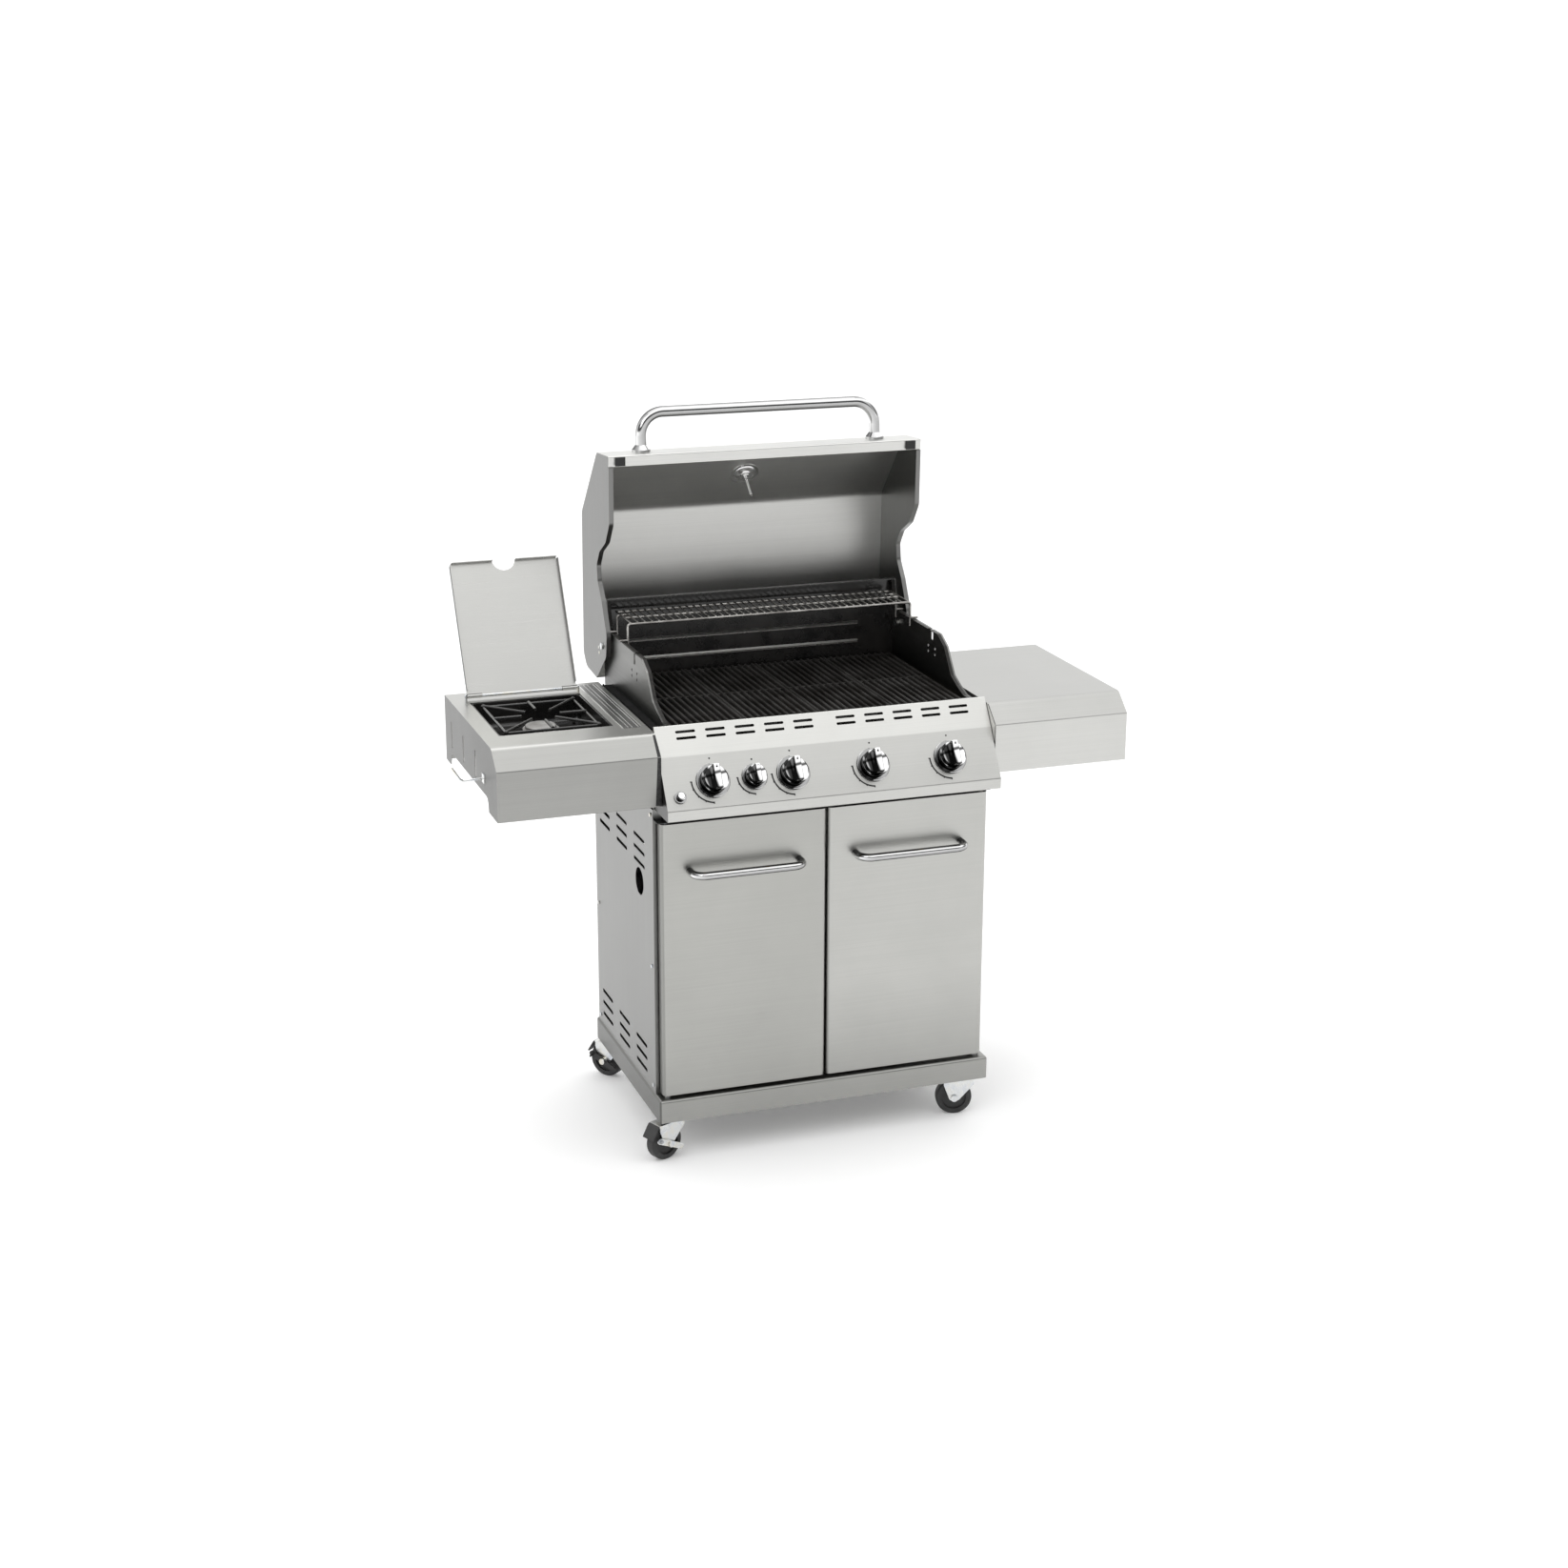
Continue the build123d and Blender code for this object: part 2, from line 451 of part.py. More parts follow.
def make_firebox():
    """Front wall, sloping floor with a grease outlet, and tall slotted back wall, in one folded sheet."""
    front = [(BOX_FRONT, BOX_RIM), (BOX_FRONT, FLOOR_FRONT_Z)]
    rear = [(BOX_REAR, FLOOR_REAR_Z), (BOX_REAR, BOX_BACK_TOP), (BOX_REAR - BOX_FOLD, BOX_BACK_TOP)]
    line = front + [FLOOR_LOW] + rear
    box = folded_sheet(line, BOX_WALL, [4, 20, 6, 3], -BOX_HALF, BOX_HALF)
    outlet = Pos(0, FLOOR_LOW[0], FLOOR_LOW[1]) * Box(*GREASE_OUTLET, 100)
    box -= outlet
    ledge_top = GRATE_TOP - GRATE_HEIGHT
    front_ledge = (BOX_FRONT + BOX_WALL - 0.5, GRATE_FRONT + 6)
    rear_ledge = (GRATE_FRONT + GRATE_DEPTH - 6, BOX_REAR - BOX_WALL + 0.5)
    for y0, y1 in (front_ledge, rear_ledge):
        box += block((-BOX_HALF, y0, ledge_top - BOX_WALL), (BOX_HALF, y1, ledge_top))
    for z in REAR_SLOTS_Z:
        plane = Plane(origin=(REAR_SLOT_X, BOX_REAR, z), x_dir=(1, 0, 0), z_dir=(0, 1, 0))
        box -= extrude(plane * SlotOverall(*REAR_SLOT), 6, both=True)
    for x in BURNERS_X:
        box -= bar((x, BOX_FRONT - 5, BURNER_Z), (x, BOX_FRONT + 5, BURNER_Z), BURNER_RADIUS + 0.3)
    return box + mirrored_pair(tray_hanger())


def tray_hanger():
    """Right-hand hanger under the firebox floor that the grease tray's lip slides on."""
    wall_x = TRAY_HALF + 12
    low, front = HANGER_BOTTOM, TRAY_FRONT - 10
    profile = [(front, low), (HANGER_REAR, low), (HANGER_REAR, 786), (FLOOR_LOW[0], 738.5), (front, 761)]
    wall = outline(profile, 0, wall_x, wall_x + SHEET)
    return wall + block((TRAY_HALF + 2, front, low), (wall_x + SHEET, HANGER_REAR, low + SHEET))


def make_firebox_end(side):
    """End wall of the firebox, with its S-shaped top edge folded in, spit slot and bracket holes."""
    outer = BOX_HALF + END_SHEET
    points = [(BOX_FRONT, CART_TOP), (BOX_REAR, CART_TOP)] + END_TOP
    wall = outline(points, [0, 0, 0] + END_BENDS + [0], BOX_HALF, outer)
    flange = folded_sheet(END_TOP, SHEET, END_BENDS, BOX_HALF - 8, outer)
    wall += flange & block((0, BOX_FRONT + BOX_WALL, CART_TOP), (outer, BOX_REAR - BOX_FOLD, BOX_BACK_TOP))
    wall -= block((0, SPIT_SLOT[0], SPIT_SLOT[2]), (400, SPIT_SLOT[1], BOX_SHOULDER + 14))
    for y in SPIT_Y:
        for z in SPIT_Z:
            wall -= bar((300, y, z), (340, y, z), SPIT_HOLE_RADIUS)
    wall -= bar((300, PIVOT_Y, PIVOT_Z), (340, PIVOT_Y, PIVOT_Z), PIVOT_RADIUS + 0.1)
    return wall if side > 0 else mirror(wall, Plane.YZ)


def make_burners():
    """Four tube burners, open at the front end where the jets enter."""
    burners = Part()
    for x in BURNERS_X:
        tube = bar((x, BURNER_FRONT, BURNER_Z), (x, BOX_REAR - BOX_WALL, BURNER_Z), BURNER_RADIUS)
        bore = BURNER_RADIUS - SHEET
        burners += tube - bar((x, BURNER_FRONT - 2, BURNER_Z), (x, BURNER_END, BURNER_Z), bore)
    return burners


def make_heat_tents():
    """Four folded plates that shield the burners."""
    tents = Part()
    for x in BURNERS_X:
        line = [(x - TENT_HALF, TENT_LOW), (x, TENT_TOP), (x + TENT_HALF, TENT_LOW)]
        far = parallel(line, -SHEET)
        edge = Plane(origin=(0, BOX_FRONT + BOX_WALL, 0), x_dir=(1, 0, 0), z_dir=(0, -1, 0))
        sheet = make_face(Polyline(*line, *far[::-1], close=True))
        tents += extrude(edge * sheet, -(BOX_REAR - BOX_FRONT - 2 * BOX_WALL))
    return tents


def make_cooking_grates():
    """Four cast grates side by side, each with bars that run from front to back."""
    width = 2 * (BOX_HALF - 10) / GRATE_COUNT
    rear = GRATE_FRONT + GRATE_DEPTH
    grates = Part()
    for place in range(GRATE_COUNT):
        left = (place - GRATE_COUNT / 2) * width + 1
        pitch = (width - 2 - GRATE_BAR_WIDTH) / (GRATE_BARS - 1)
        grate = Part()
        for y in (GRATE_FRONT, GRATE_FRONT + GRATE_DEPTH / 2 - 4, rear - 8):
            grate += block((left, y, GRATE_TOP - GRATE_HEIGHT), (left + width - 2, y + 8, GRATE_TOP - 3))
        for number in range(GRATE_BARS):
            x = left + number * pitch
            low = (x, GRATE_FRONT, GRATE_TOP - GRATE_BAR_HEIGHT)
            rib = block(low, (x + GRATE_BAR_WIDTH, rear, GRATE_TOP))
            grate += chamfer(rib.edges().group_by(Axis.Z)[-1].filter_by(Axis.Y), 1.4)
        grates += grate
    return grates


def make_warming_rack():
    """Welded wire rack on four bent legs that hook over the firebox ends."""
    across = (RACK_FRONT, (RACK_FRONT + RACK_REAR) / 2, RACK_REAR)
    rods = [bar((-RACK_HALF, y, RACK_Z), (RACK_HALF, y, RACK_Z), RACK_FRAME) for y in across]
    top = RACK_Z + RACK_FRAME
    for number in range(RACK_WIRES):
        x = RACK_HALF * (2 * number / (RACK_WIRES - 1) - 1)
        rods.append(bar((x, RACK_FRONT, top), (x, RACK_REAR, top), RACK_WIRE))
    legs = rack_leg(RACK_FRONT) + rack_leg(RACK_REAR_LEG)
    return rods[0] + rods[1:] + [legs, mirror(legs, Plane.YZ)]


def rack_leg(y):
    """Right-hand leg at y: out, down inside the firebox end, with a peg on its top edge."""
    inner = BOX_HALF - 8 - RACK_FRAME - 1
    peg = BOX_SHOULDER + RACK_FRAME + 0.3
    points = [(RACK_HALF - 20, y, RACK_Z), (inner, y, RACK_Z), (inner, y, RACK_Z - 50)]
    leg = bent_tube(points, 6, RACK_FRAME)
    return leg + bar((inner, y, peg), (BOX_HALF + END_SHEET + 3, y, peg), RACK_FRAME)


def make_grease_tray():
    """Shallow tray that hangs by its lips and slides out at the back."""
    rear = CART_REAR + 8
    tray = block((-TRAY_HALF, TRAY_FRONT, TRAY_FLOOR), (TRAY_HALF, rear, TRAY_TOP))
    tray -= block(
        (SHEET - TRAY_HALF, TRAY_FRONT + SHEET, TRAY_FLOOR + SHEET),
        (TRAY_HALF - SHEET, rear - SHEET, TRAY_TOP + 1),
    )
    lip = block((TRAY_HALF - SHEET, TRAY_FRONT, TRAY_TOP - SHEET), (TRAY_HALF + 9, HANGER_REAR, TRAY_TOP))
    grip = block((-TRAY_GRIP_HALF, rear - SHEET, TRAY_FLOOR), (TRAY_GRIP_HALF, rear + 14, TRAY_FLOOR + SHEET))
    return tray + mirrored_pair(lip) + grip


# ---------------------------------------------------------------- hood


def swing_open(part):
    """Turn a part of the closed hood to the open position."""
    pivot = Pos(0, PIVOT_Y, PIVOT_Z)
    return pivot * Rot(X=-HOOD_TURN) * pivot.inverse() * part


def on_hood_slope():
    """The plane on the middle of the hood's slope, facing out, with the hood closed."""
    (y0, z0), (y1, z1) = HOOD_OUTLINE[2], HOOD_OUTLINE[3]
    return Plane(origin=(0, (y0 + y1) / 2, (z0 + z1) / 2), x_dir=(1, 0, 0), z_dir=(0, z0 - z1, y1 - y0))


def on_hood_front(x):
    """The plane on the hood's front face at x, facing out, with the hood closed."""
    (y0, z0), (y1, z1) = HOOD_OUTLINE[1], HOOD_OUTLINE[2]
    origin = (x, y0 + HOOD_HANDLE_PART * (y1 - y0), z0 + HOOD_HANDLE_PART * (z1 - z0))
    return Plane(origin=origin, x_dir=(1, 0, 0), z_dir=(0, z0 - z1, y1 - y0))


def make_hood_shell():
    """Folded hood sheet: lip, front face, slope, top and rounded back."""
    shell = folded_sheet(HOOD_OUTLINE, -SHEET, HOOD_BENDS, -HOOD_HALF, HOOD_HALF)
    shell -= extrude(on_hood_slope() * Circle(DIAL_NECK_RADIUS + 0.1), 8, both=True)
    return swing_open(shell)


def make_hood_end(side):
    """End plate of the hood, with a narrow flange along its wavy lower edge."""
    inner = HOOD_HALF - SHEET
    top = parallel(HOOD_OUTLINE[1:], -SHEET)
    lip = [(32, 900.6), (53, 902.6)]
    points = HOOD_END_EDGE[:-1] + [top[-1]] + top[-2:0:-1] + lip
    radii = [0] + HOOD_END_BENDS + [0] + [bend - SHEET for bend in HOOD_BENDS[:0:-1]] + [0, 0]
    wall = outline(points, radii, inner, HOOD_HALF)
    wall += folded_sheet(HOOD_END_EDGE[:-1], SHEET, HOOD_END_BENDS[:-1], inner - 8, inner + SHEET / 2)
    wall -= bar((300, PIVOT_Y, PIVOT_Z), (340, PIVOT_Y, PIVOT_Z), PIVOT_RADIUS + RUNNING_GAP)
    wall = swing_open(wall)
    return wall if side > 0 else mirror(wall, Plane.YZ)


def make_hood_handle():
    """Bent tube handle on two flared feet."""
    left, right = on_hood_front(-HOOD_HANDLE_HALF), on_hood_front(HOOD_HANDLE_HALF)
    reach = HOOD_HANDLE_REACH * left.z_dir
    points = [left.origin, left.origin + reach, right.origin + reach, right.origin]
    handle = bent_tube(points, HOOD_HANDLE_BEND, HOOD_HANDLE_RADIUS)
    for plane in (left, right):
        handle += extrude(plane * Circle(HOOD_FOOT_RADIUS), 5)
        handle += extrude(plane * Pos(0, 0, 5) * Circle(HOOD_FOOT_RADIUS), 9, taper=38)
    return swing_open(handle)


def make_hood_bumpers():
    """Two rubber pads under the hood's lip."""
    pad = block((PAD_X - PAD_HALF, 32.5, 893.6), (PAD_X + PAD_HALF, 50, 898.2))
    lip_line = [(HOOD_OUTLINE[0][0] + 1, HOOD_OUTLINE[0][1] + 0.12)]
    lip_line += [(HOOD_OUTLINE[1][0] - 1, HOOD_OUTLINE[1][1] - 0.12)]
    lip = folded_sheet(lip_line, -20, [], PAD_X - 2 * PAD_HALF, PAD_X + 2 * PAD_HALF)
    return swing_open(mirrored_pair(pad - lip))


def make_thermometer():
    """Round dial outside the hood, with its nut and probe inside."""
    face = on_hood_slope()
    dial = extrude(face * Circle(DIAL_RADIUS), DIAL_DEPTH)
    dial = fillet(dial.edges().filter_by(GeomType.CIRCLE).group_by(Axis(face.origin, face.z_dir))[-1], 3)
    neck = extrude(face * Pos(0, 0, -SHEET - 1) * Circle(DIAL_NECK_RADIUS), 4)
    nut = extrude(face * Pos(0, 0, -SHEET) * Circle(30), -1.2)
    nut += extrude(face * Pos(0, 0, -SHEET - 1) * RegularPolygon(10, 6), -7)
    probe = extrude(face * Pos(0, 0, -SHEET - 7) * Circle(PROBE_RADIUS), -52)
    return swing_open(dial + neck + nut + probe)


# ---------------------------------------------------------------- shelves and side burner


def shelf_line():
    """The fold line of a shelf, from its rear apron over the top to its front apron, as (Y, Z)."""
    rear = [(SHELF_REAR, SHELF_BOTTOM), (SHELF_REAR, SHELF_TOP)]
    front = [(SHELF_SLOPE, SHELF_TOP), SHELF_BREAK, (SHELF_BREAK[0], SHELF_BOTTOM)]
    return rear + front + [(SHELF_BREAK[0] + 14, SHELF_BOTTOM)]


def shelf_end(low, high):
    """End plate of a shelf between two X values."""
    return outline(shelf_line()[:-1], [0, *SHELF_BENDS], low, high)


def make_shelf(end):
    """Right-hand shelf out to X = end: folded top with plain ends, open below."""
    shelf = folded_sheet(shelf_line(), SHEET, SHELF_BENDS, SHELF_START, end)
    shelf += shelf_end(end - SHEET, end)
    shelf += shelf_end(SHELF_START, SHELF_START + SHEET)
    foot = block((SHELF_START, CART_FRONT, CART_TOP), (SHELF_START + SHEET, 400, SHELF_BOTTOM + 1))
    return shelf + foot


def make_shelf_left():
    """Left-hand shelf with the side burner opening, and slots and an arch in its outer end."""
    shelf = mirror(make_shelf(LEFT_END), Plane.YZ)
    shelf -= block((HOB_LEFT, HOB_FRONT, SHELF_TOP - 9), (HOB_RIGHT, HOB_REAR, SHELF_TOP + 9))
    outside, inside = -LEFT_END - 1, 2 * SHEET - LEFT_END
    shelf -= outline(SHELF_ARCH, [0, 14, 14, 0], outside, inside)
    for y in SHELF_SLOTS_Y:
        shelf -= block((outside, y - 4, SHELF_SLOT_LOW), (inside, y + 4, SHELF_SLOT_HIGH))
    return shelf - bar((-LEFT_END + 9, TUBE_Y, TUBE_Z), (-SHELF_START + 9, TUBE_Y, TUBE_Z), TUBE_HOLE_RADIUS)


def make_side_burner_bowl():
    """Pressed pan that hangs in the shelf opening, with a hole for the burner's throat."""
    under = SHELF_TOP - SHEET
    bowl = block((HOB_LEFT + 2, HOB_FRONT + 2, HOB_FLOOR), (HOB_RIGHT - 2, HOB_REAR - 2, under))
    bowl = fillet(bowl.edges().filter_by(Axis.Z) + bowl.edges().group_by(Axis.Z)[0], 12)
    hollow = block(
        (HOB_LEFT + 2 + SHEET, HOB_FRONT + 2 + SHEET, HOB_FLOOR + SHEET),
        (HOB_RIGHT - 2 - SHEET, HOB_REAR - 2 - SHEET, under + 20),
    )
    hollow = fillet(hollow.edges().filter_by(Axis.Z) + hollow.edges().group_by(Axis.Z)[0], 12 - SHEET)
    rim = block((HOB_LEFT - 8, HOB_FRONT - 8, under - SHEET), (HOB_RIGHT + 8, HOB_REAR + 8, under))
    return bowl + rim - hollow - bar((HOB_X, HOB_Y, 800), (HOB_X, HOB_Y, 850), 14)


def make_side_burner_head():
    """Burner throat, toothed flame ring and cap."""
    at = (HOB_X, HOB_Y)
    throat = bar((*at, 812), (*at, 842), 12) - bar((*at, 811), (*at, 838), 10)
    ring = bar((*at, 838), (*at, 856), 36)
    teeth = [Pos(*at, 853) * Rot(Z=angle) * Pos(34, 0, 0) * Box(8, 2.4, 5) for angle in range(0, 360, 15)]
    cap = bar((*at, 856), (*at, 863), 31)
    cap = fillet(cap.edges().group_by(Axis.Z)[-1], 3)
    return throat + ring - teeth + cap + bar((*at, HOB_FLOOR + SHEET), (*at, 838.5), 16)


def make_side_burner_grate():
    """Pot support: a square wire frame on four feet, with four fingers towards the flame."""
    top, radius = 886.0, 3.0
    half_x, half_y = 92.0, 98.0
    corners = [(HOB_X - half_x, HOB_Y - half_y), (HOB_X + half_x, HOB_Y - half_y)]
    corners += [(HOB_X + half_x, HOB_Y + half_y), (HOB_X - half_x, HOB_Y + half_y)]
    grate = Part()
    for here, there in zip(corners, corners[1:] + corners[:1]):
        grate += bar((*here, top - 6), (*there, top - 6), radius)
        grate += bar((*here, top - 6), (*here, HOB_FLOOR + SHEET + 0.3), radius)
    for here in corners:
        inward = (HOB_X + (here[0] - HOB_X) * 0.26, HOB_Y + (here[1] - HOB_Y) * 0.26)
        grate += bar((*here, top - 3), (*inward, top - 3), radius)
        grate += Pos(*here, top - 4) * Sphere(radius + 1.5)
    for dx, dy in ((half_x, 0), (-half_x, 0), (0, half_y), (0, -half_y)):
        start = (HOB_X + dx, HOB_Y + dy, top - 3)
        grate += bar(start, (HOB_X + dx * 0.42, HOB_Y + dy * 0.42, top - 3), radius)
    return grate


def make_lid_hinge():
    """Two lugs behind the side burner, joined by the rod that its lid turns on."""
    low, high = HOB_LEFT - 1, HOB_RIGHT + 1
    rod = bar((low - 4, LID_Y, LID_Z), (high + 4, LID_Y, LID_Z), 2.5)
    for x in (low - 3, high):
        rod += block((x, LID_Y - 5, SHELF_TOP), (x + 3, LID_Y + 5, LID_Z + 4))
    return rod


def make_side_burner_lid():
    """Flat lid with folded edges, a hinge barrel and a finger notch, drawn shut and then opened."""
    left, right = HOB_LEFT + 0.5, HOB_RIGHT - 0.5
    front, top = LID_Y - LID_LENGTH, LID_Z + 4.5
    lid = block((left, front, SHELF_TOP + 1), (right, LID_Y, top))
    lid = fillet(lid.edges().group_by(Axis.Y)[0].filter_by(Axis.Z), 8)
    lid -= block((left + SHEET, front + SHEET, SHELF_TOP), (right - SHEET, LID_Y + 1, top - SHEET))
    lid -= block((left - 1, LID_Y - 12, SHELF_TOP), (right + 1, LID_Y + 1, top - SHEET))
    lid -= bar((HOB_X, front - 3, SHELF_TOP), (HOB_X, front - 3, top + 1), 24)
    barrel = bar((left, LID_Y, LID_Z), (right, LID_Y, LID_Z), 4.5)
    lid += barrel - block((left + 30, LID_Y - 9, LID_Z - 9), (right - 30, LID_Y + 9, LID_Z + 3))
    lid -= bar((left - 1, LID_Y, LID_Z), (right + 1, LID_Y, LID_Z), 2.5 + RUNNING_GAP)
    pivot = Pos(0, LID_Y, LID_Z)
    return pivot * Rot(X=-LID_TURN) * pivot.inverse() * lid


def make_tool_hook():
    """Wire hook on a small plate at the left shelf's outer end."""
    y, z = 89.0, 807.0
    plate = block((-LEFT_END - 2, y - 9, z - 9), (-LEFT_END, y + 9, z + 9))
    points = [(-LEFT_END - 1, y, z), (-LEFT_END - 44, y, z - 2), (-LEFT_END - 62, y, z + 26)]
    return plate + bent_tube(points, 12, 2.2)


# ---------------------------------------------------------------- casters and fasteners


def caster_place(name):
    """Location of a caster's swivel axis on the floor, turned so that local X is its trail."""
    x, y, heading, _ = CASTERS[name]
    return Pos(x, y, 0) * Rot(Z=heading)


def make_caster_plates():
    """The four mounting plates, each with its bearing race and kingpin."""
    plates = Part()
    for name in CASTERS:
        x, y, _, _ = CASTERS[name]
        plate = Pos(x, y, (PLATE_Z + PAN_BOTTOM) / 2) * Box(62, 54, PAN_BOTTOM - PLATE_Z)
        plate += bar((x, y, CROWN_Z + 2.6), (x, y, PLATE_Z), 21)
        plate += bar((x, y, CROWN_Z - 0.3), (x, y, CROWN_Z + 2.7), 5)
        plates += plate + bar((x, y, CROWN_Z - 1.8), (x, y, CROWN_Z - 0.2), 8)
    return plates


def side_plate(points, radii, low, high):
    """A plate with an outline of local (X, Z) points, between two local Y values."""
    plane = Plane(origin=(0, high, 0), x_dir=(1, 0, 0), z_dir=(0, -1, 0))
    edge = FilletPolyline(*points, radius=radii, close=True)
    return extrude(plane * make_face(edge), high - low)


def fork_leg(low, high):
    """One tapering leg of a fork."""
    top = CROWN_Z + CROWN_THICKNESS
    points = [(CROWN_TAIL, top), (CROWN_NOSE, top), (CROWN_NOSE, 66)]
    points += [(TRAIL + 9, 32), (TRAIL - 9, 32), (CROWN_TAIL, 68)]
    return side_plate(points, [3, 3, 5, 7, 7, 5], low, high)


def brake_guard():
    """Shoe cover that folds down from the crown over the front of the tread."""
    top = CROWN_Z + CROWN_THICKNESS
    points = [(CROWN_NOSE - 6, top), (CROWN_NOSE + 4, top), (CROWN_NOSE + 20, 53)]
    cover = points + parallel(points, -GUARD_THICKNESS)[::-1]
    return side_plate(cover, [0, 8, 0, 0, 5, 0], -FORK_HALF, FORK_HALF)


def make_caster_fork(name):
    """Swivelling fork with its axle, which carries a lever and its nut at one end if braked."""
    fork = block((CROWN_TAIL, -FORK_HALF, CROWN_Z), (CROWN_NOSE, FORK_HALF, CROWN_Z + CROWN_THICKNESS))
    fork += fork_leg(FORK_HALF - 2.5, FORK_HALF) + fork_leg(-FORK_HALF, -FORK_HALF + 2.5)
    fork += axle_bar(-FORK_HALF - 2, FORK_HALF + 2, AXLE_RADIUS)
    fork += axle_bar(FORK_HALF, LEVER_INNER - 0.1, 7) + axle_bar(-LEVER_INNER + 0.1, -FORK_HALF, 7)
    fork -= bar((0, 0, 60), (0, 0, 90), 5 + RUNNING_GAP)
    if CASTERS[name][3]:
        nut_start = LEVER_INNER + LEVER_THICKNESS + 0.1
        fork += brake_guard() + axle_bar(FORK_HALF, nut_start + 1, AXLE_RADIUS)
        fork += axle_bar(nut_start, nut_start + 3, 6.5)
    return caster_place(name) * fork


def axle_bar(start, end, radius):
    """A round bar on the axle's line between two local Y values."""
    return bar((TRAIL, start, WHEEL_RADIUS), (TRAIL, end, WHEEL_RADIUS), radius)


def make_caster_wheel(name):
    """Wheel with a rounded tread, a dished disc and a hub."""
    across = Plane(origin=(TRAIL, 0, WHEEL_RADIUS), x_dir=(1, 0, 0), z_dir=(0, -1, 0))
    wheel = extrude(across * Circle(WHEEL_RADIUS), WHEEL_HALF, both=True)
    wheel = fillet(wheel.edges().filter_by(GeomType.CIRCLE), 4)
    for side in (-1, 1):
        dish = extrude(across * Circle(26), 4) - extrude(across * Circle(11), 4)
        wheel -= Pos(0, side * (WHEEL_HALF - 2) + 2, 0) * dish
    wheel += extrude(across * Circle(9), 12.6, both=True)
    wheel -= extrude(across * Circle(AXLE_RADIUS + RUNNING_GAP), 30, both=True)
    return caster_place(name) * wheel


def make_brake_lever(name):
    """Foot lever that turns on the axle's end, with a tab to step on."""
    outer = LEVER_INNER + LEVER_THICKNESS
    side = Plane(origin=(TRAIL, outer, WHEEL_RADIUS), x_dir=(1, 0, 0), z_dir=(0, -1, 0))
    lever = extrude(SlotOverall(LEVER_LENGTH, LEVER_WIDTH), LEVER_THICKNESS)
    lever += Pos(LEVER_LENGTH / 2 - 8, 0, 1 - LEVER_TAB / 2) * Box(LEVER_THICKNESS, 9, LEVER_TAB)
    lever = side * Rot(0, 0, LEVER_TILT) * lever
    lever -= axle_bar(0, outer + 5, AXLE_RADIUS + RUNNING_GAP)
    return caster_place(name) * lever


def make_screws():
    """Screw heads on the side panels and on the back."""
    heads = Part()
    for y in (46, 440):
        for z in (146, 400, 714):
            heads += bar((CART_HALF, y, z), (CART_HALF + 2, y, z), 4)
    for z in (146, 400, 676):
        heads += bar((340, CART_REAR + SHEET, z), (340, CART_REAR + SHEET + 2, z), 4)
    return mirrored_pair(heads)


def build_parts():
    """Every sub-part by its node name, in the frame that the grill is built in."""
    parts = {
        "base_pan": make_base_pan(),
        "side_panel_left": make_side_panel(-1),
        "side_panel_right": make_side_panel(1),
        "back_panel": make_back_panel(),
        "cross_rail": make_cross_rail(),
        "hinge_pins": make_hinge_pins(),
        "door_left": make_door(-1),
        "door_right": make_door(1),
        "door_handle_left": make_door_handle(-1),
        "door_handle_right": make_door_handle(1),
        "control_panel": make_control_panel(),
        "knob_bezels": make_knob_bezels(),
        "igniter_button": make_igniter_button(),
        "gas_manifold": make_gas_manifold(),
        "gas_valves": make_gas_valves(),
        "side_burner_supply": make_side_burner_supply(),
        "firebox": make_firebox(),
        "firebox_end_left": make_firebox_end(-1),
        "firebox_end_right": make_firebox_end(1),
        "burners": make_burners(),
        "heat_tents": make_heat_tents(),
        "cooking_grates": make_cooking_grates(),
        "warming_rack": make_warming_rack(),
        "grease_tray": make_grease_tray(),
        "hood_shell": make_hood_shell(),
        "hood_end_left": make_hood_end(-1),
        "hood_end_right": make_hood_end(1),
        "hood_handle": make_hood_handle(),
        "hood_bumpers": make_hood_bumpers(),
        "thermometer": make_thermometer(),
        "shelf_left": make_shelf_left(),
        "shelf_right": make_shelf(RIGHT_END),
        "side_burner_bowl": make_side_burner_bowl(),
        "side_burner_head": make_side_burner_head(),
        "side_burner_grate": make_side_burner_grate(),
        "side_burner_lid": make_side_burner_lid(),
        "lid_hinge": make_lid_hinge(),
        "tool_hook": make_tool_hook(),
        "caster_plates": make_caster_plates(),
        "screws": make_screws(),
    }
    for number in KNOBS:
        parts[f"knob_{number}"] = make_knob(number)
        parts[f"valve_stem_{number}"] = make_valve_stem(number)
    for name, (_, _, _, braked) in CASTERS.items():
        parts[f"caster_fork_{name}"] = make_caster_fork(name)
        parts[f"caster_wheel_{name}"] = make_caster_wheel(name)
        if braked:
            parts[f"brake_lever_{name}"] = make_brake_lever(name)
    return parts


def footprint_middle(parts):
    """The middle of the grill's box seen from above, on the floor."""
    boxes = [part.bounding_box() for part in parts.values()]
    x = (min(b.min.X for b in boxes) + max(b.max.X for b in boxes)) / 2
    y = (min(b.min.Y for b in boxes) + max(b.max.Y for b in boxes)) / 2
    return Vector(x, y, min(b.min.Z for b in boxes))


def main():
    os.makedirs("parts", exist_ok=True)
    parts = build_parts()
    middle = footprint_middle(parts)
    for name, part in parts.items():
        export_step(Pos(-middle) * part, f"parts/{name}.step")


if __name__ == "__main__":
    main()
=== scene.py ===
"""Looks for the gas barbecue grill: camera, studio, finishes and the small printed and riveted details.

Lengths are in metres, in the row frame: X to the user's right, Y to the back, Z up from the floor.
"""

from math import cos, pi, radians, sin

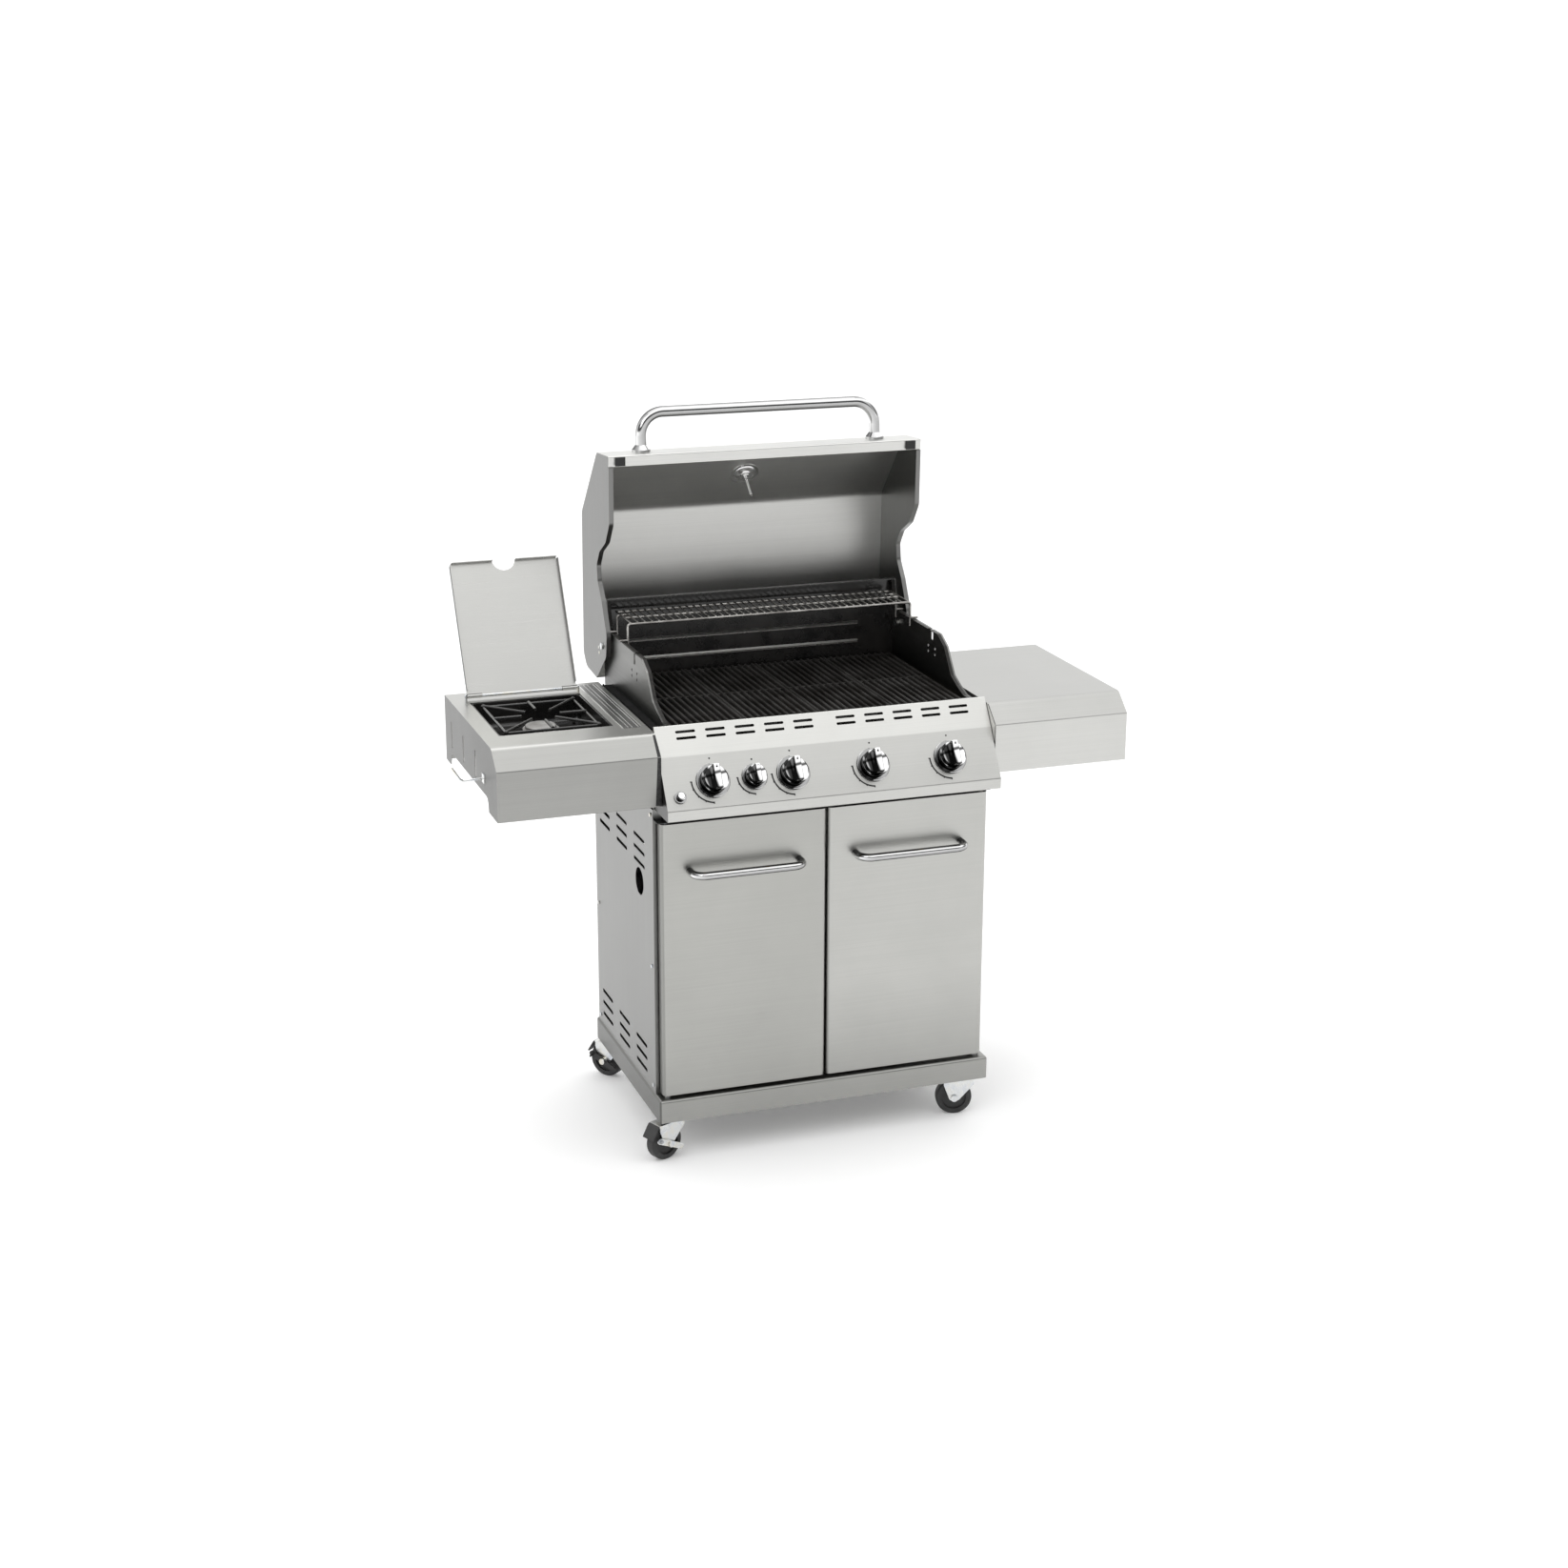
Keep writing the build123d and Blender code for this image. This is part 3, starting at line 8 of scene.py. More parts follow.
import bmesh
import bpy
from mathutils import Matrix, Vector
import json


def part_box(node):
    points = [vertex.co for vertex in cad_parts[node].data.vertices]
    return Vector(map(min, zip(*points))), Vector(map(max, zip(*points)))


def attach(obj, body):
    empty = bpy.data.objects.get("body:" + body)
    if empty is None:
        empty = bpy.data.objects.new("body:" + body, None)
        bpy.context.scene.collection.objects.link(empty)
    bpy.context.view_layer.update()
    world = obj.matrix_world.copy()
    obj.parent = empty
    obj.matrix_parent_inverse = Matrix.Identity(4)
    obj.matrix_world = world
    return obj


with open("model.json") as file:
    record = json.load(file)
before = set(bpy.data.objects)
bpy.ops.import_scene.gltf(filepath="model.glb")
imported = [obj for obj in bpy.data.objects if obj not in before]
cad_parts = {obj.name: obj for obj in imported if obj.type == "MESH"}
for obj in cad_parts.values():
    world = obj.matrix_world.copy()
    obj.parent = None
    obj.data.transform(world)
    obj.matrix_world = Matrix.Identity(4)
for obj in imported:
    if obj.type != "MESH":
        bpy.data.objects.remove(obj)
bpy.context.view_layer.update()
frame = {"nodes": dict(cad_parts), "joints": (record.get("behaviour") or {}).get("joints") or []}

NODES = frame["nodes"]
JOINTS = {joint["name"]: joint for joint in frame["joints"]}

# Camera, measured from the middle of the door fronts on the floor
CAMERA_PLACE = Vector((-1.6868, -4.5327, 2.2506))
CAMERA_YAW, CAMERA_PITCH, CAMERA_ROLL = 0.3384, -0.3000, 0.0030
CAMERA_LENS, CAMERA_SENSOR = 59.27, 36.0

# Knobs, from left to right; the side burner's is smaller
KNOB_NUMBERS = (1, 2, 3, 4, 5)
SMALL_KNOB, SMALL_KNOB_SCALE = 2, 0.76
KNOB_REACH = 0.028
SCALE_TICKS = (178.0, 199.0, 221.0, 243.0, 264.0)

# Painted reflections: what polished parts show of the studio, painted into their colour as (position, grey)
# stops:
# by which way a face looks for the knobs' light, the dial rings and the tube handles, and by place across
# and up each knob
KNOB_PAINTED_LIGHT = (-0.74, 0.10, -0.66)
KNOB_PAINTED_REFLECTION = (
    (0.0, 0.95), (0.16, 0.95), (0.30, 0.90), (0.42, 0.80), (0.49, 0.06), (0.95, 0.015), (1.0, 0.10),
)
KNOB_PAINTED_ACROSS = (
    (0.0, 0.20), (0.06, 0.03), (0.13, 0.50), (0.18, 0.04), (0.36, 0.03), (0.43, 0.90), (0.88, 1.0),
    (0.94, 0.05),
)
KNOB_PAINTED_UPWARD = (
    (0.0, 0.10), (0.07, 0.04), (0.14, 1.0), (0.54, 1.0), (0.59, 0.12), (0.64, 0.12), (0.70, 1.0),
    (0.97, 1.0),
)
BEZEL_PAINTED_REFLECTION = (
    (0.0, 0.90), (0.14, 0.80), (0.22, 0.30), (0.34, 0.42), (0.44, 0.60), (0.54, 0.04), (0.90, 0.02),
    (1.0, 0.55),
)
TUBE_PAINTED_LIGHT = (-0.42, 0.27, 0.866)
TUBE_PAINTED_REFLECTION = (
    (0.0, 0.03), (0.10, 0.05), (0.19, 0.36), (0.36, 0.45), (0.52, 0.62), (0.64, 0.92), (0.72, 0.50),
    (0.84, 0.32), (0.93, 0.05),
)

# Sheet steel: the bare front fold of the firebox ends, the heights between which painted shade darkens
# those ends towards the bottom, and the heights below which painted shade darkens the control panel and the
# doors, as (height, blending width, what is left)
FOLD_BRIGHT = 0.0035
END_PAINTED_SHADE = (0.89, 0.96)
PANEL_PAINTED_SHADE = ((0.8405, 0.002, 0.83), (0.79, 0.04, 0.96))
DOOR_LEFT_PAINTED_SHADE = ((0.22, 0.24, 0.88),)
DOOR_RIGHT_PAINTED_SHADE = ((0.22, 0.24, 0.72),)

# Zinc plating as (position, colour) stops, and the braked casters' plastic cover, which starts this
# far in front of the swivel
ZINC_BLOOM = ((0.3, (0.58, 0.61, 0.66)), (0.5, (0.72, 0.73, 0.73)), (0.7, (0.74, 0.71, 0.62)))
BRAKED = ("front_left", "rear_left")
GUARD_START = 0.0475

# Printing on the control panel: its height over the sheet, and how far its dots reach below that
PRINT_LIFT, DOT_SINK = 0.0002, 0.0003

# The thermometer's dial, in degrees from its right-hand side, and the washer and nut inside the hood.
# Domes and nuts are (radius, height) profiles
DIAL_TICKS, DIAL_LONG_TICK = 20, 5
DIAL_START, DIAL_SWEEP = -45.0, 270.0
WASHER_DOME = (
    (0.0235, -0.0003), (0.0235, 0.0012), (0.021, 0.0030), (0.014, 0.0048), (0.009, 0.0054), (0.009, 0.0056),
)
WASHER_NUT = ((0.0085, 0.0050), (0.0085, 0.0100), (0.0070, 0.0112))

# Rivets on the hood's ends, as (how far behind the pivot, how far below it), and the bright lips of
# the firebox's rear air slots
RIVETS = ((0.029, 0.009), (0.026, 0.020))
RIVET_DOME = ((0.0032, -0.0003), (0.0030, 0.0006), (0.0020, 0.0012), (0.0008, 0.0014))
SLOT_HEIGHTS, SLOT_HALF, SLOT_OFFSET = (0.917, 0.957), 0.253, 0.015

# Beside the shelves: near-black bars of painted shade in the gaps, ridges as (inset, width), and black
# strips of painted shadow in the joints at the panel's ends as (name, which end of the shelf's box, width
# at the foot, width at the top), where minus is leftwards
GAP_FRONT, GAP_REAR = -0.19, 0.165
RIDGES = ((0.010, 0.0014), (0.015, 0.0022), (0.028, 0.0011), (0.036, 0.0011), (0.046, 0.0022))
RIDGE_INSET, RIDGE_TOP, RIDGE_SINK = 0.01, 0.0012, 0.0005
GAP_FOOT, GAP_STEPS = 0.752, 40
GAP_SHADOW_LINES = (("left", 1, -0.0115, -0.0050), ("right", 0, 0.0014, 0.0014))

# Studio lights: name, place, what it looks at, width and power in watts
LIGHTS = (
    ("key", (-2.6, -2.6, 3.6), (0.0, 0.0, 0.7), 2.2, 22.0),
    ("fill", (3.4, -2.2, 2.6), (0.0, 0.0, 0.7), 2.0, 8.0),
    ("top", (0.0, 0.4, 4.2), (0.0, 0.0, 0.0), 3.0, 20.0),
)
WALLS_FRONT = ((0.0, 0.85), (0.08, 0.80), (0.16, 0.07), (0.42, 0.06), (0.62, 0.85), (1.0, 1.0))
WALLS_BACK = ((0.0, 0.85), (0.2, 0.78), (1.0, 0.95))
WORLD_STRENGTH = 1.5
FLOOR_SIZE = 400.0


# ---------------------------------------------------------------- shader helpers


def new_material(name, **sockets):
    """A material whose Principled shader has these sockets set; underscores stand for spaces."""
    material = bpy.data.materials.new(name)
    material.use_nodes = True
    tree = material.node_tree
    shader = tree.nodes["Principled BSDF"]
    for socket, value in sockets.items():
        shader.inputs[socket.replace("_", " ")].default_value = value
    return material, tree, shader


def feed(tree, shader, colour, rough):
    """Links what gives the colour, and what gives the roughness, to a shader."""
    tree.links.new(colour, shader.inputs["Base Color"])
    tree.links.new(rough, shader.inputs["Roughness"])


def noise(tree, stretch, detail=2.0, rough=0.5):
    """Noise whose frequency along X, Y and Z is stretch, in cycles per metre."""
    place = tree.nodes.new("ShaderNodeTexCoord")
    mapping = tree.nodes.new("ShaderNodeMapping")
    texture = tree.nodes.new("ShaderNodeTexNoise")
    mapping.inputs["Scale"].default_value = stretch
    texture.inputs["Scale"].default_value = 1.0
    texture.inputs["Detail"].default_value = detail
    texture.inputs["Roughness"].default_value = rough
    tree.links.new(place.outputs["Object"], mapping.inputs["Vector"])
    tree.links.new(mapping.outputs["Vector"], texture.inputs["Vector"])
    return texture.outputs["Fac"]


def even(frequency):
    """The same frequency along all three axes."""
    return (frequency, frequency, frequency)


def cells(tree, frequency):
    """A random value for each crystal-like cell."""
    place = tree.nodes.new("ShaderNodeTexCoord")
    texture = tree.nodes.new("ShaderNodeTexVoronoi")
    texture.inputs["Scale"].default_value = frequency
    tree.links.new(place.outputs["Object"], texture.inputs["Vector"])
    split = tree.nodes.new("ShaderNodeSeparateColor")
    tree.links.new(texture.outputs["Color"], split.inputs["Color"])
    return split.outputs["Red"]


def ramp(tree, source, *stops):
    """Colours or grey values between (position, value) stops, looked up with source."""
    node = tree.nodes.new("ShaderNodeValToRGB")
    elements = node.color_ramp.elements
    while len(elements) < len(stops):
        elements.new(0.5)
    for element, (position, value) in zip(elements, stops):
        element.position = position
        element.color = (*value, 1.0) if isinstance(value, tuple) else (value, value, value, 1.0)
    tree.links.new(source, node.inputs["Fac"])
    return node.outputs["Color"]


def mix(tree, kind, amount, first, second):
    """Two colours mixed; amount is a number or a link."""
    node = tree.nodes.new("ShaderNodeMix")
    node.data_type = "RGBA"
    node.blend_type = kind
    tree.links.new(first, node.inputs["A"])
    tree.links.new(second, node.inputs["B"])
    if isinstance(amount, float):
        node.inputs["Factor"].default_value = amount
    else:
        tree.links.new(amount, node.inputs["Factor"])
    return node.outputs["Result"]


def bump(tree, shader, source, strength, distance):
    """Relief from source, in metres."""
    node = tree.nodes.new("ShaderNodeBump")
    node.inputs["Strength"].default_value = strength
    node.inputs["Distance"].default_value = distance
    tree.links.new(source, node.inputs["Height"])
    tree.links.new(node.outputs["Normal"], shader.inputs["Normal"])


def facing(tree, direction):
    """1 on faces that look along a signed axis such as "+X", 0 on the others."""
    place = tree.nodes.new("ShaderNodeTexCoord")
    split = tree.nodes.new("ShaderNodeSeparateXYZ")
    tree.links.new(place.outputs["Normal"], split.inputs["Vector"])
    low, high = (0.4, 0.6) if direction[0] == "+" else (-0.4, -0.6)
    node = tree.nodes.new("ShaderNodeMapRange")
    node.inputs["From Min"].default_value = low
    node.inputs["From Max"].default_value = high
    tree.links.new(split.outputs[direction[1]], node.inputs["Value"])
    return node.outputs["Result"]


def reach(tree, point, direction, low, high):
    """How far a place lies from a point along a direction: 0 at low or less, 1 at high or more."""
    place = tree.nodes.new("ShaderNodeTexCoord")
    offset = tree.nodes.new("ShaderNodeVectorMath")
    offset.operation = "SUBTRACT"
    offset.inputs[1].default_value = point
    length = tree.nodes.new("ShaderNodeVectorMath")
    length.operation = "DOT_PRODUCT"
    length.inputs[1].default_value = direction
    spread = tree.nodes.new("ShaderNodeMapRange")
    spread.inputs["From Min"].default_value = low
    spread.inputs["From Max"].default_value = high
    tree.links.new(place.outputs["Object"], offset.inputs[0])
    tree.links.new(offset.outputs["Vector"], length.inputs[0])
    tree.links.new(length.outputs["Value"], spread.inputs["Value"])
    return spread.outputs["Result"]


def beyond(tree, point, direction, width):
    """1 where a place lies past a point along a direction, 0 before it, blended over width."""
    return reach(tree, point, direction, -width / 2, width / 2)


def slant(tree, direction):
    """How far a face looks along a direction, from 0 (away) through 0.5 (square to it) to 1."""
    place = tree.nodes.new("ShaderNodeTexCoord")
    look = tree.nodes.new("ShaderNodeVectorMath")
    look.operation = "DOT_PRODUCT"
    look.inputs[1].default_value = direction
    spread = tree.nodes.new("ShaderNodeMapRange")
    spread.inputs["From Min"].default_value = -1.0
    tree.links.new(place.outputs["Normal"], look.inputs[0])
    tree.links.new(look.outputs["Value"], spread.inputs["Value"])
    return spread.outputs["Result"]


# ---------------------------------------------------------------- finishes


def brushed_steel(name, grain, colour, rough=(0.27, 0.40), dim=(("-X", 0.72),), painted_shade_heights=()):
    """Stainless sheet brushed along the grain axis, with faint clouding and rubbed patches.

    dim has the directions in which painted shade makes its faces darker, each with how much colour is left.
    The last argument has the heights below which painted shade makes it darker, each with a blending width
    and what is left.
    """
    material, tree, shader = new_material(name, Metallic=1.0)
    stretch = tuple(3.0 if axis == grain else 900.0 for axis in "XYZ")
    wide = tuple(1.2 if axis == grain else 160.0 for axis in "XYZ")
    fine = noise(tree, stretch, detail=3.0)
    broad = noise(tree, wide, detail=2.0)
    cloud = noise(tree, even(3.5), detail=4.0, rough=0.6)
    dark = tuple(0.93 * c for c in colour)
    light = tuple(min(1.04 * c, 1.0) for c in colour)
    base = ramp(tree, cloud, (0.3, dark), (0.7, light))
    streak = ramp(tree, fine, (0.25, 0.92), (0.75, 1.0))
    band = ramp(tree, broad, (0.25, 0.975), (0.75, 1.0))
    shade = mix(tree, "MULTIPLY", 1.0, mix(tree, "MULTIPLY", 1.0, base, streak), band)
    # Painted shade: faces that look along the given directions are darker, and the sheet is darker below
    # the given heights.
    for direction, left in dim:
        painted_side_shade = ramp(tree, facing(tree, direction), (0.0, 1.0), (1.0, left))
        shade = mix(tree, "MULTIPLY", 1.0, shade, painted_side_shade)
    for height, width, left in painted_shade_heights:
        low = beyond(tree, (0.0, 0.0, height), (0.0, 0.0, -1.0), width)
        shade = mix(tree, "MULTIPLY", 1.0, shade, ramp(tree, low, (0.0, 1.0), (1.0, left)))
    dull = ramp(tree, mix(tree, "MIX", 0.5, fine, cloud), (0.3, rough[0]), (0.7, rough[1]))
    feed(tree, shader, shade, dull)
    bump(tree, shader, fine, 0.25, 0.00006)
    return material


def end_sheet(name, node, inside):
    """Firebox end: satin steel outside, black enamel with baked-on grease on the side looking inside."""
    material, tree, shader = new_material(name, Specular_IOR_Level=0.25)
    fine = noise(tree, (700.0, 3.0, 700.0), detail=2.0)
    spatter = noise(tree, even(160.0), detail=5.0, rough=0.7)
    # Painted shade: the outer steel gets a darker grey than the other sheets, and it darkens further
    # towards the bottom between the given heights.
    steel = ramp(tree, fine, (0.25, (0.20, 0.20, 0.195)), (0.75, (0.27, 0.27, 0.26)))
    foot = ramp(tree, reach(tree, (0.0, 0.0, 0.0), (0.0, 0.0, 1.0), *END_PAINTED_SHADE), (0.0, 0.42), (1.0, 1.0))
    steel = mix(tree, "MULTIPLY", 1.0, steel, foot)
    enamel = ramp(tree, spatter, (0.35, (0.008, 0.008, 0.008)), (0.75, (0.035, 0.032, 0.028)))
    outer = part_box(node)[0].x if inside == "+X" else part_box(node)[1].x
    inward = 1.0 if inside == "+X" else -1.0
    mask = beyond(tree, (outer + inward * FOLD_BRIGHT, 0.0, 0.0), (inward, 0.0, 0.0), 0.001)
    satin = ramp(tree, fine, (0.3, 0.30), (0.7, 0.42))
    glossy = ramp(tree, spatter, (0.35, 0.28), (0.7, 0.5))
    feed(tree, shader, mix(tree, "MIX", mask, steel, enamel), mix(tree, "MIX", mask, satin, glossy))
    tree.links.new(ramp(tree, mask, (0.0, 1.0), (1.0, 0.0)), shader.inputs["Metallic"])
    bump(tree, shader, spatter, 0.15, 0.0002)
    return material


def lid_steel(name, colour):
    """Brushed lid sheet with painted shade on its edges, which are made dark."""
    material, tree, shader = new_material(name, Metallic=1.0)
    fine = noise(tree, (3.0, 900.0, 900.0), detail=3.0)
    cloud = noise(tree, even(3.5), detail=4.0, rough=0.6)
    base = ramp(tree, cloud, (0.3, tuple(0.95 * c for c in colour)), (0.7, colour))
    grained = mix(tree, "MULTIPLY", 1.0, base, ramp(tree, fine, (0.25, 0.93), (0.75, 1.0)))
    # Painted shade: faces that look sideways or up, the lid's edges, are made dark.
    sideways = slant(tree, (1.0, 0.0, 0.0))
    broad = ramp(tree, sideways, (0.12, 0.06), (0.25, 1.0), (0.75, 1.0), (0.88, 0.06))
    level = ramp(tree, slant(tree, (0.0, 0.0, 1.0)), (0.86, 1.0), (0.93, 0.15))
    with_painted_edge_shade = mix(tree, "MULTIPLY", 1.0, mix(tree, "MULTIPLY", 1.0, grained, broad), level)
    feed(tree, shader, with_painted_edge_shade, ramp(tree, fine, (0.3, 0.27), (0.7, 0.40)))
    bump(tree, shader, fine, 0.25, 0.00006)
    return material


def galvanised(name):
    """Zinc-dipped sheet with its crystal spangle."""
    material, tree, shader = new_material(name, Metallic=1.0)
    spangle = cells(tree, 90.0)
    cloud = noise(tree, even(6.0), detail=4.0)
    base = ramp(tree, spangle, (0.0, (0.38, 0.40, 0.41)), (1.0, (0.56, 0.57, 0.58)))
    stain = ramp(tree, cloud, (0.3, 0.88), (0.7, 1.0))
    feed(
        tree, shader, mix(tree, "MULTIPLY", 1.0, base, stain),
        ramp(tree, spangle, (0.0, 0.34), (1.0, 0.52)),
    )
    bump(tree, shader, cloud, 0.1, 0.0003)
    return material


def black_enamel(name):
    """Fired black enamel: glossy, a little wavy, with a haze of grease and fine light specks."""
    material, tree, shader = new_material(name, Coat_Weight=0.4, Coat_Roughness=0.08)
    wave = noise(tree, even(240.0), detail=2.0)
    haze = noise(tree, even(14.0), detail=5.0, rough=0.65)
    specks = noise(tree, even(900.0), detail=1.0)
    deep = ramp(tree, haze, (0.35, (0.006, 0.006, 0.006)), (0.75, (0.022, 0.020, 0.018)))
    speck = ramp(tree, specks, (0.72, 0.0), (0.80, 0.05))
    feed(tree, shader, mix(tree, "ADD", 1.0, deep, speck), ramp(tree, haze, (0.3, 0.16), (0.75, 0.45)))
    bump(tree, shader, wave, 0.2, 0.0002)
    return material


def cast_iron(name):
    """Seasoned cast iron: pebbled, oily black with dry grey patches."""
    material, tree, shader = new_material(name, Specular_IOR_Level=0.45)
    pebble = noise(tree, even(700.0), detail=3.0, rough=0.6)
    patch = noise(tree, even(22.0), detail=4.0)
    base = ramp(tree, patch, (0.3, (0.010, 0.009, 0.008)), (0.75, (0.038, 0.036, 0.034)))
    feed(tree, shader, base, ramp(tree, patch, (0.3, 0.34), (0.7, 0.62)))
    bump(tree, shader, pebble, 0.5, 0.0004)
    return material


def polished(name, colour, rough=(0.03, 0.10)):
    """Plated, mirror-bright metal with faint smears and hairline scratches."""
    material, tree, shader = new_material(name, Metallic=1.0)
    smear = noise(tree, even(45.0), detail=4.0, rough=0.6)
    hair = noise(tree, (1500.0, 60.0, 60.0), detail=1.0)
    dim = tuple(0.93 * c for c in colour)
    feed(
        tree, shader, ramp(tree, smear, (0.3, dim), (0.7, colour)),
        ramp(tree, smear, (0.35, rough[0]), (0.75, rough[1])),
    )
    bump(tree, shader, hair, 0.03, 0.00005)
    return material


def chrome(name, direction, *stops):
    """Mirror plating with a painted reflection: the dark and light of a studio, painted into its colour by
    which way each face looks.
    """
    material, tree, shader = new_material(name, Metallic=1.0)
    smear = noise(tree, even(45.0), detail=4.0, rough=0.6)
    wave = noise(tree, even(160.0), detail=1.0)
    studio = ramp(tree, slant(tree, direction), *stops)
    film = ramp(tree, smear, (0.3, 0.93), (0.7, 1.0))
    feed(
        tree, shader, mix(tree, "MULTIPLY", 1.0, studio, film),
        ramp(tree, smear, (0.35, 0.04), (0.75, 0.12)),
    )
    bump(tree, shader, wave, 0.02, 0.0002)
    return material


def knob_painted_reflection(name, joint, scale):
    """Mirror plating of a knob, with a painted reflection: the dark and light bands that a studio throws
    across it, painted by which way each face looks and by place across and up the knob.
    """
    material, tree, shader = new_material(name, Metallic=1.0)
    smear = noise(tree, even(45.0), detail=4.0, rough=0.6)
    turn = along(Vector(joint["axis"]))
    half = KNOB_REACH * scale
    across = reach(tree, joint["pos_m"], turn @ Vector((0.98, 0.20, 0.0)), -half, half)
    upward = reach(tree, joint["pos_m"], turn @ Vector((-0.16, 0.99, 0.0)), -half, half)
    studio = ramp(tree, slant(tree, KNOB_PAINTED_LIGHT), *KNOB_PAINTED_REFLECTION)
    sides = ramp(tree, across, *KNOB_PAINTED_ACROSS)
    bands = mix(tree, "MULTIPLY", 1.0, sides, ramp(tree, upward, *KNOB_PAINTED_UPWARD))
    shade = mix(tree, "MULTIPLY", 1.0, studio, bands)
    feed(tree, shader, shade, ramp(tree, smear, (0.35, 0.05), (0.75, 0.14)))
    bump(tree, shader, smear, 0.02, 0.0002)
    return material


def guarded_fork(name, swivel, axle):
    """Zinc-plated fork whose brake cover, in front of the wheel, is black plastic."""
    material, tree, shader = new_material(name)
    heading = Vector(axle) - Vector(swivel)
    heading.z = 0.0
    nose = Vector(swivel) + GUARD_START * heading.normalized()
    mask = beyond(tree, nose, heading.normalized(), 0.001)
    bloom = noise(tree, even(40.0), detail=4.0)
    plating = ramp(tree, bloom, *ZINC_BLOOM)
    plastic = ramp(tree, bloom, (0.3, (0.015, 0.015, 0.015)), (0.7, (0.03, 0.03, 0.03)))
    satin = ramp(tree, bloom, (0.3, 0.22), (0.7, 0.36))
    moulded = ramp(tree, bloom, (0.3, 0.45), (0.7, 0.6))
    feed(tree, shader, mix(tree, "MIX", mask, plating, plastic), mix(tree, "MIX", mask, satin, moulded))
    tree.links.new(ramp(tree, mask, (0.0, 1.0), (1.0, 0.0)), shader.inputs["Metallic"])
    bump(tree, shader, bloom, 0.1, 0.0001)
    return material


def heated_steel(name):
    """Stainless that a flame has tinted straw, brown and blue in patches."""
    material, tree, shader = new_material(name, Metallic=1.0)
    tint = noise(tree, (5.0, 9.0, 9.0), detail=3.0)
    fine = noise(tree, even(500.0), detail=2.0)
    base = ramp(
        tree, tint, (0.30, (0.42, 0.42, 0.40)), (0.45, (0.40, 0.34, 0.24)),
        (0.58, (0.25, 0.19, 0.17)), (0.70, (0.22, 0.24, 0.30)),
    )
    feed(tree, shader, base, ramp(tree, fine, (0.3, 0.28), (0.7, 0.46)))
    bump(tree, shader, fine, 0.1, 0.0001)
    return material


def wire_plate(name):
    """Nickel-plated wire, dulled in patches by heat."""
    material, tree, shader = new_material(name, Metallic=1.0)
    dull = noise(tree, even(30.0), detail=4.0)
    base = ramp(tree, dull, (0.3, (0.20, 0.19, 0.18)), (0.7, (0.48, 0.47, 0.45)))
    feed(tree, shader, base, ramp(tree, dull, (0.3, 0.42), (0.7, 0.22)))
    bump(tree, shader, dull, 0.05, 0.0001)
    return material


def brass(name):
    """Turned brass with brown tarnish in the hollows."""
    material, tree, shader = new_material(name, Metallic=1.0)
    tarnish = noise(tree, even(70.0), detail=5.0, rough=0.7)
    base = ramp(
        tree, tarnish, (0.30, (0.30, 0.19, 0.08)), (0.55, (0.72, 0.52, 0.22)), (0.8, (0.80, 0.62, 0.30)),
    )
    feed(tree, shader, base, ramp(tree, tarnish, (0.3, 0.5), (0.7, 0.22)))
    bump(tree, shader, tarnish, 0.1, 0.0001)
    return material


def cast_aluminium(name):
    """Sand-cast aluminium: pale grey, grainy, darker where it has been hot."""
    material, tree, shader = new_material(name, Metallic=1.0)
    grit = noise(tree, even(1100.0), detail=3.0, rough=0.65)
    soot = noise(tree, even(25.0), detail=4.0)
    base = ramp(tree, soot, (0.3, (0.34, 0.33, 0.32)), (0.7, (0.60, 0.60, 0.59)))
    feed(tree, shader, base, ramp(tree, grit, (0.3, 0.42), (0.7, 0.62)))
    bump(tree, shader, grit, 0.4, 0.0002)
    return material


def pipe_paint(name, shade=(0.10, 0.10, 0.105)):
    """Powder coat with its orange-peel surface."""
    material, tree, shader = new_material(name)
    peel = noise(tree, even(420.0), detail=2.0)
    fade = noise(tree, even(9.0), detail=3.0)
    base = ramp(tree, fade, (0.3, shade), (0.7, tuple(1.5 * c for c in shade)))
    feed(tree, shader, base, ramp(tree, peel, (0.3, 0.38), (0.7, 0.52)))
    bump(tree, shader, peel, 0.3, 0.0002)
    return material


def zinc(name):
    """Bright zinc plating with a faint blue and straw bloom."""
    material, tree, shader = new_material(name, Metallic=1.0)
    bloom = noise(tree, even(40.0), detail=4.0)
    fine = noise(tree, even(900.0), detail=2.0)
    base = ramp(tree, bloom, *ZINC_BLOOM)
    feed(tree, shader, base, ramp(tree, fine, (0.3, 0.20), (0.7, 0.36)))
    bump(tree, shader, fine, 0.1, 0.00008)
    return material


def rubber(name, shade=0.022, rough=(0.42, 0.62), shine=0.4):
    """Moulded black rubber or hard plastic, scuffed and a little dusty."""
    material, tree, shader = new_material(name, Specular_IOR_Level=shine)
    dust = noise(tree, even(55.0), detail=5.0, rough=0.7)
    fine = noise(tree, even(1300.0), detail=2.0)
    dark = (shade, shade, shade)
    light = tuple(2.2 * c for c in dark)
    feed(
        tree, shader, ramp(tree, dust, (0.4, dark), (0.8, light)),
        ramp(tree, dust, (0.3, rough[0]), (0.7, rough[1])),
    )
    bump(tree, shader, fine, 0.3, 0.0001)
    return material


def white_enamel(name):
    """Fired cream-white enamel, faintly mottled."""
    material, tree, shader = new_material(name)
    mottle = noise(tree, even(90.0), detail=3.0)
    base = ramp(tree, mottle, (0.3, (0.66, 0.65, 0.61)), (0.7, (0.74, 0.73, 0.70)))
    feed(tree, shader, base, ramp(tree, mottle, (0.3, 0.25), (0.7, 0.38)))
    return material


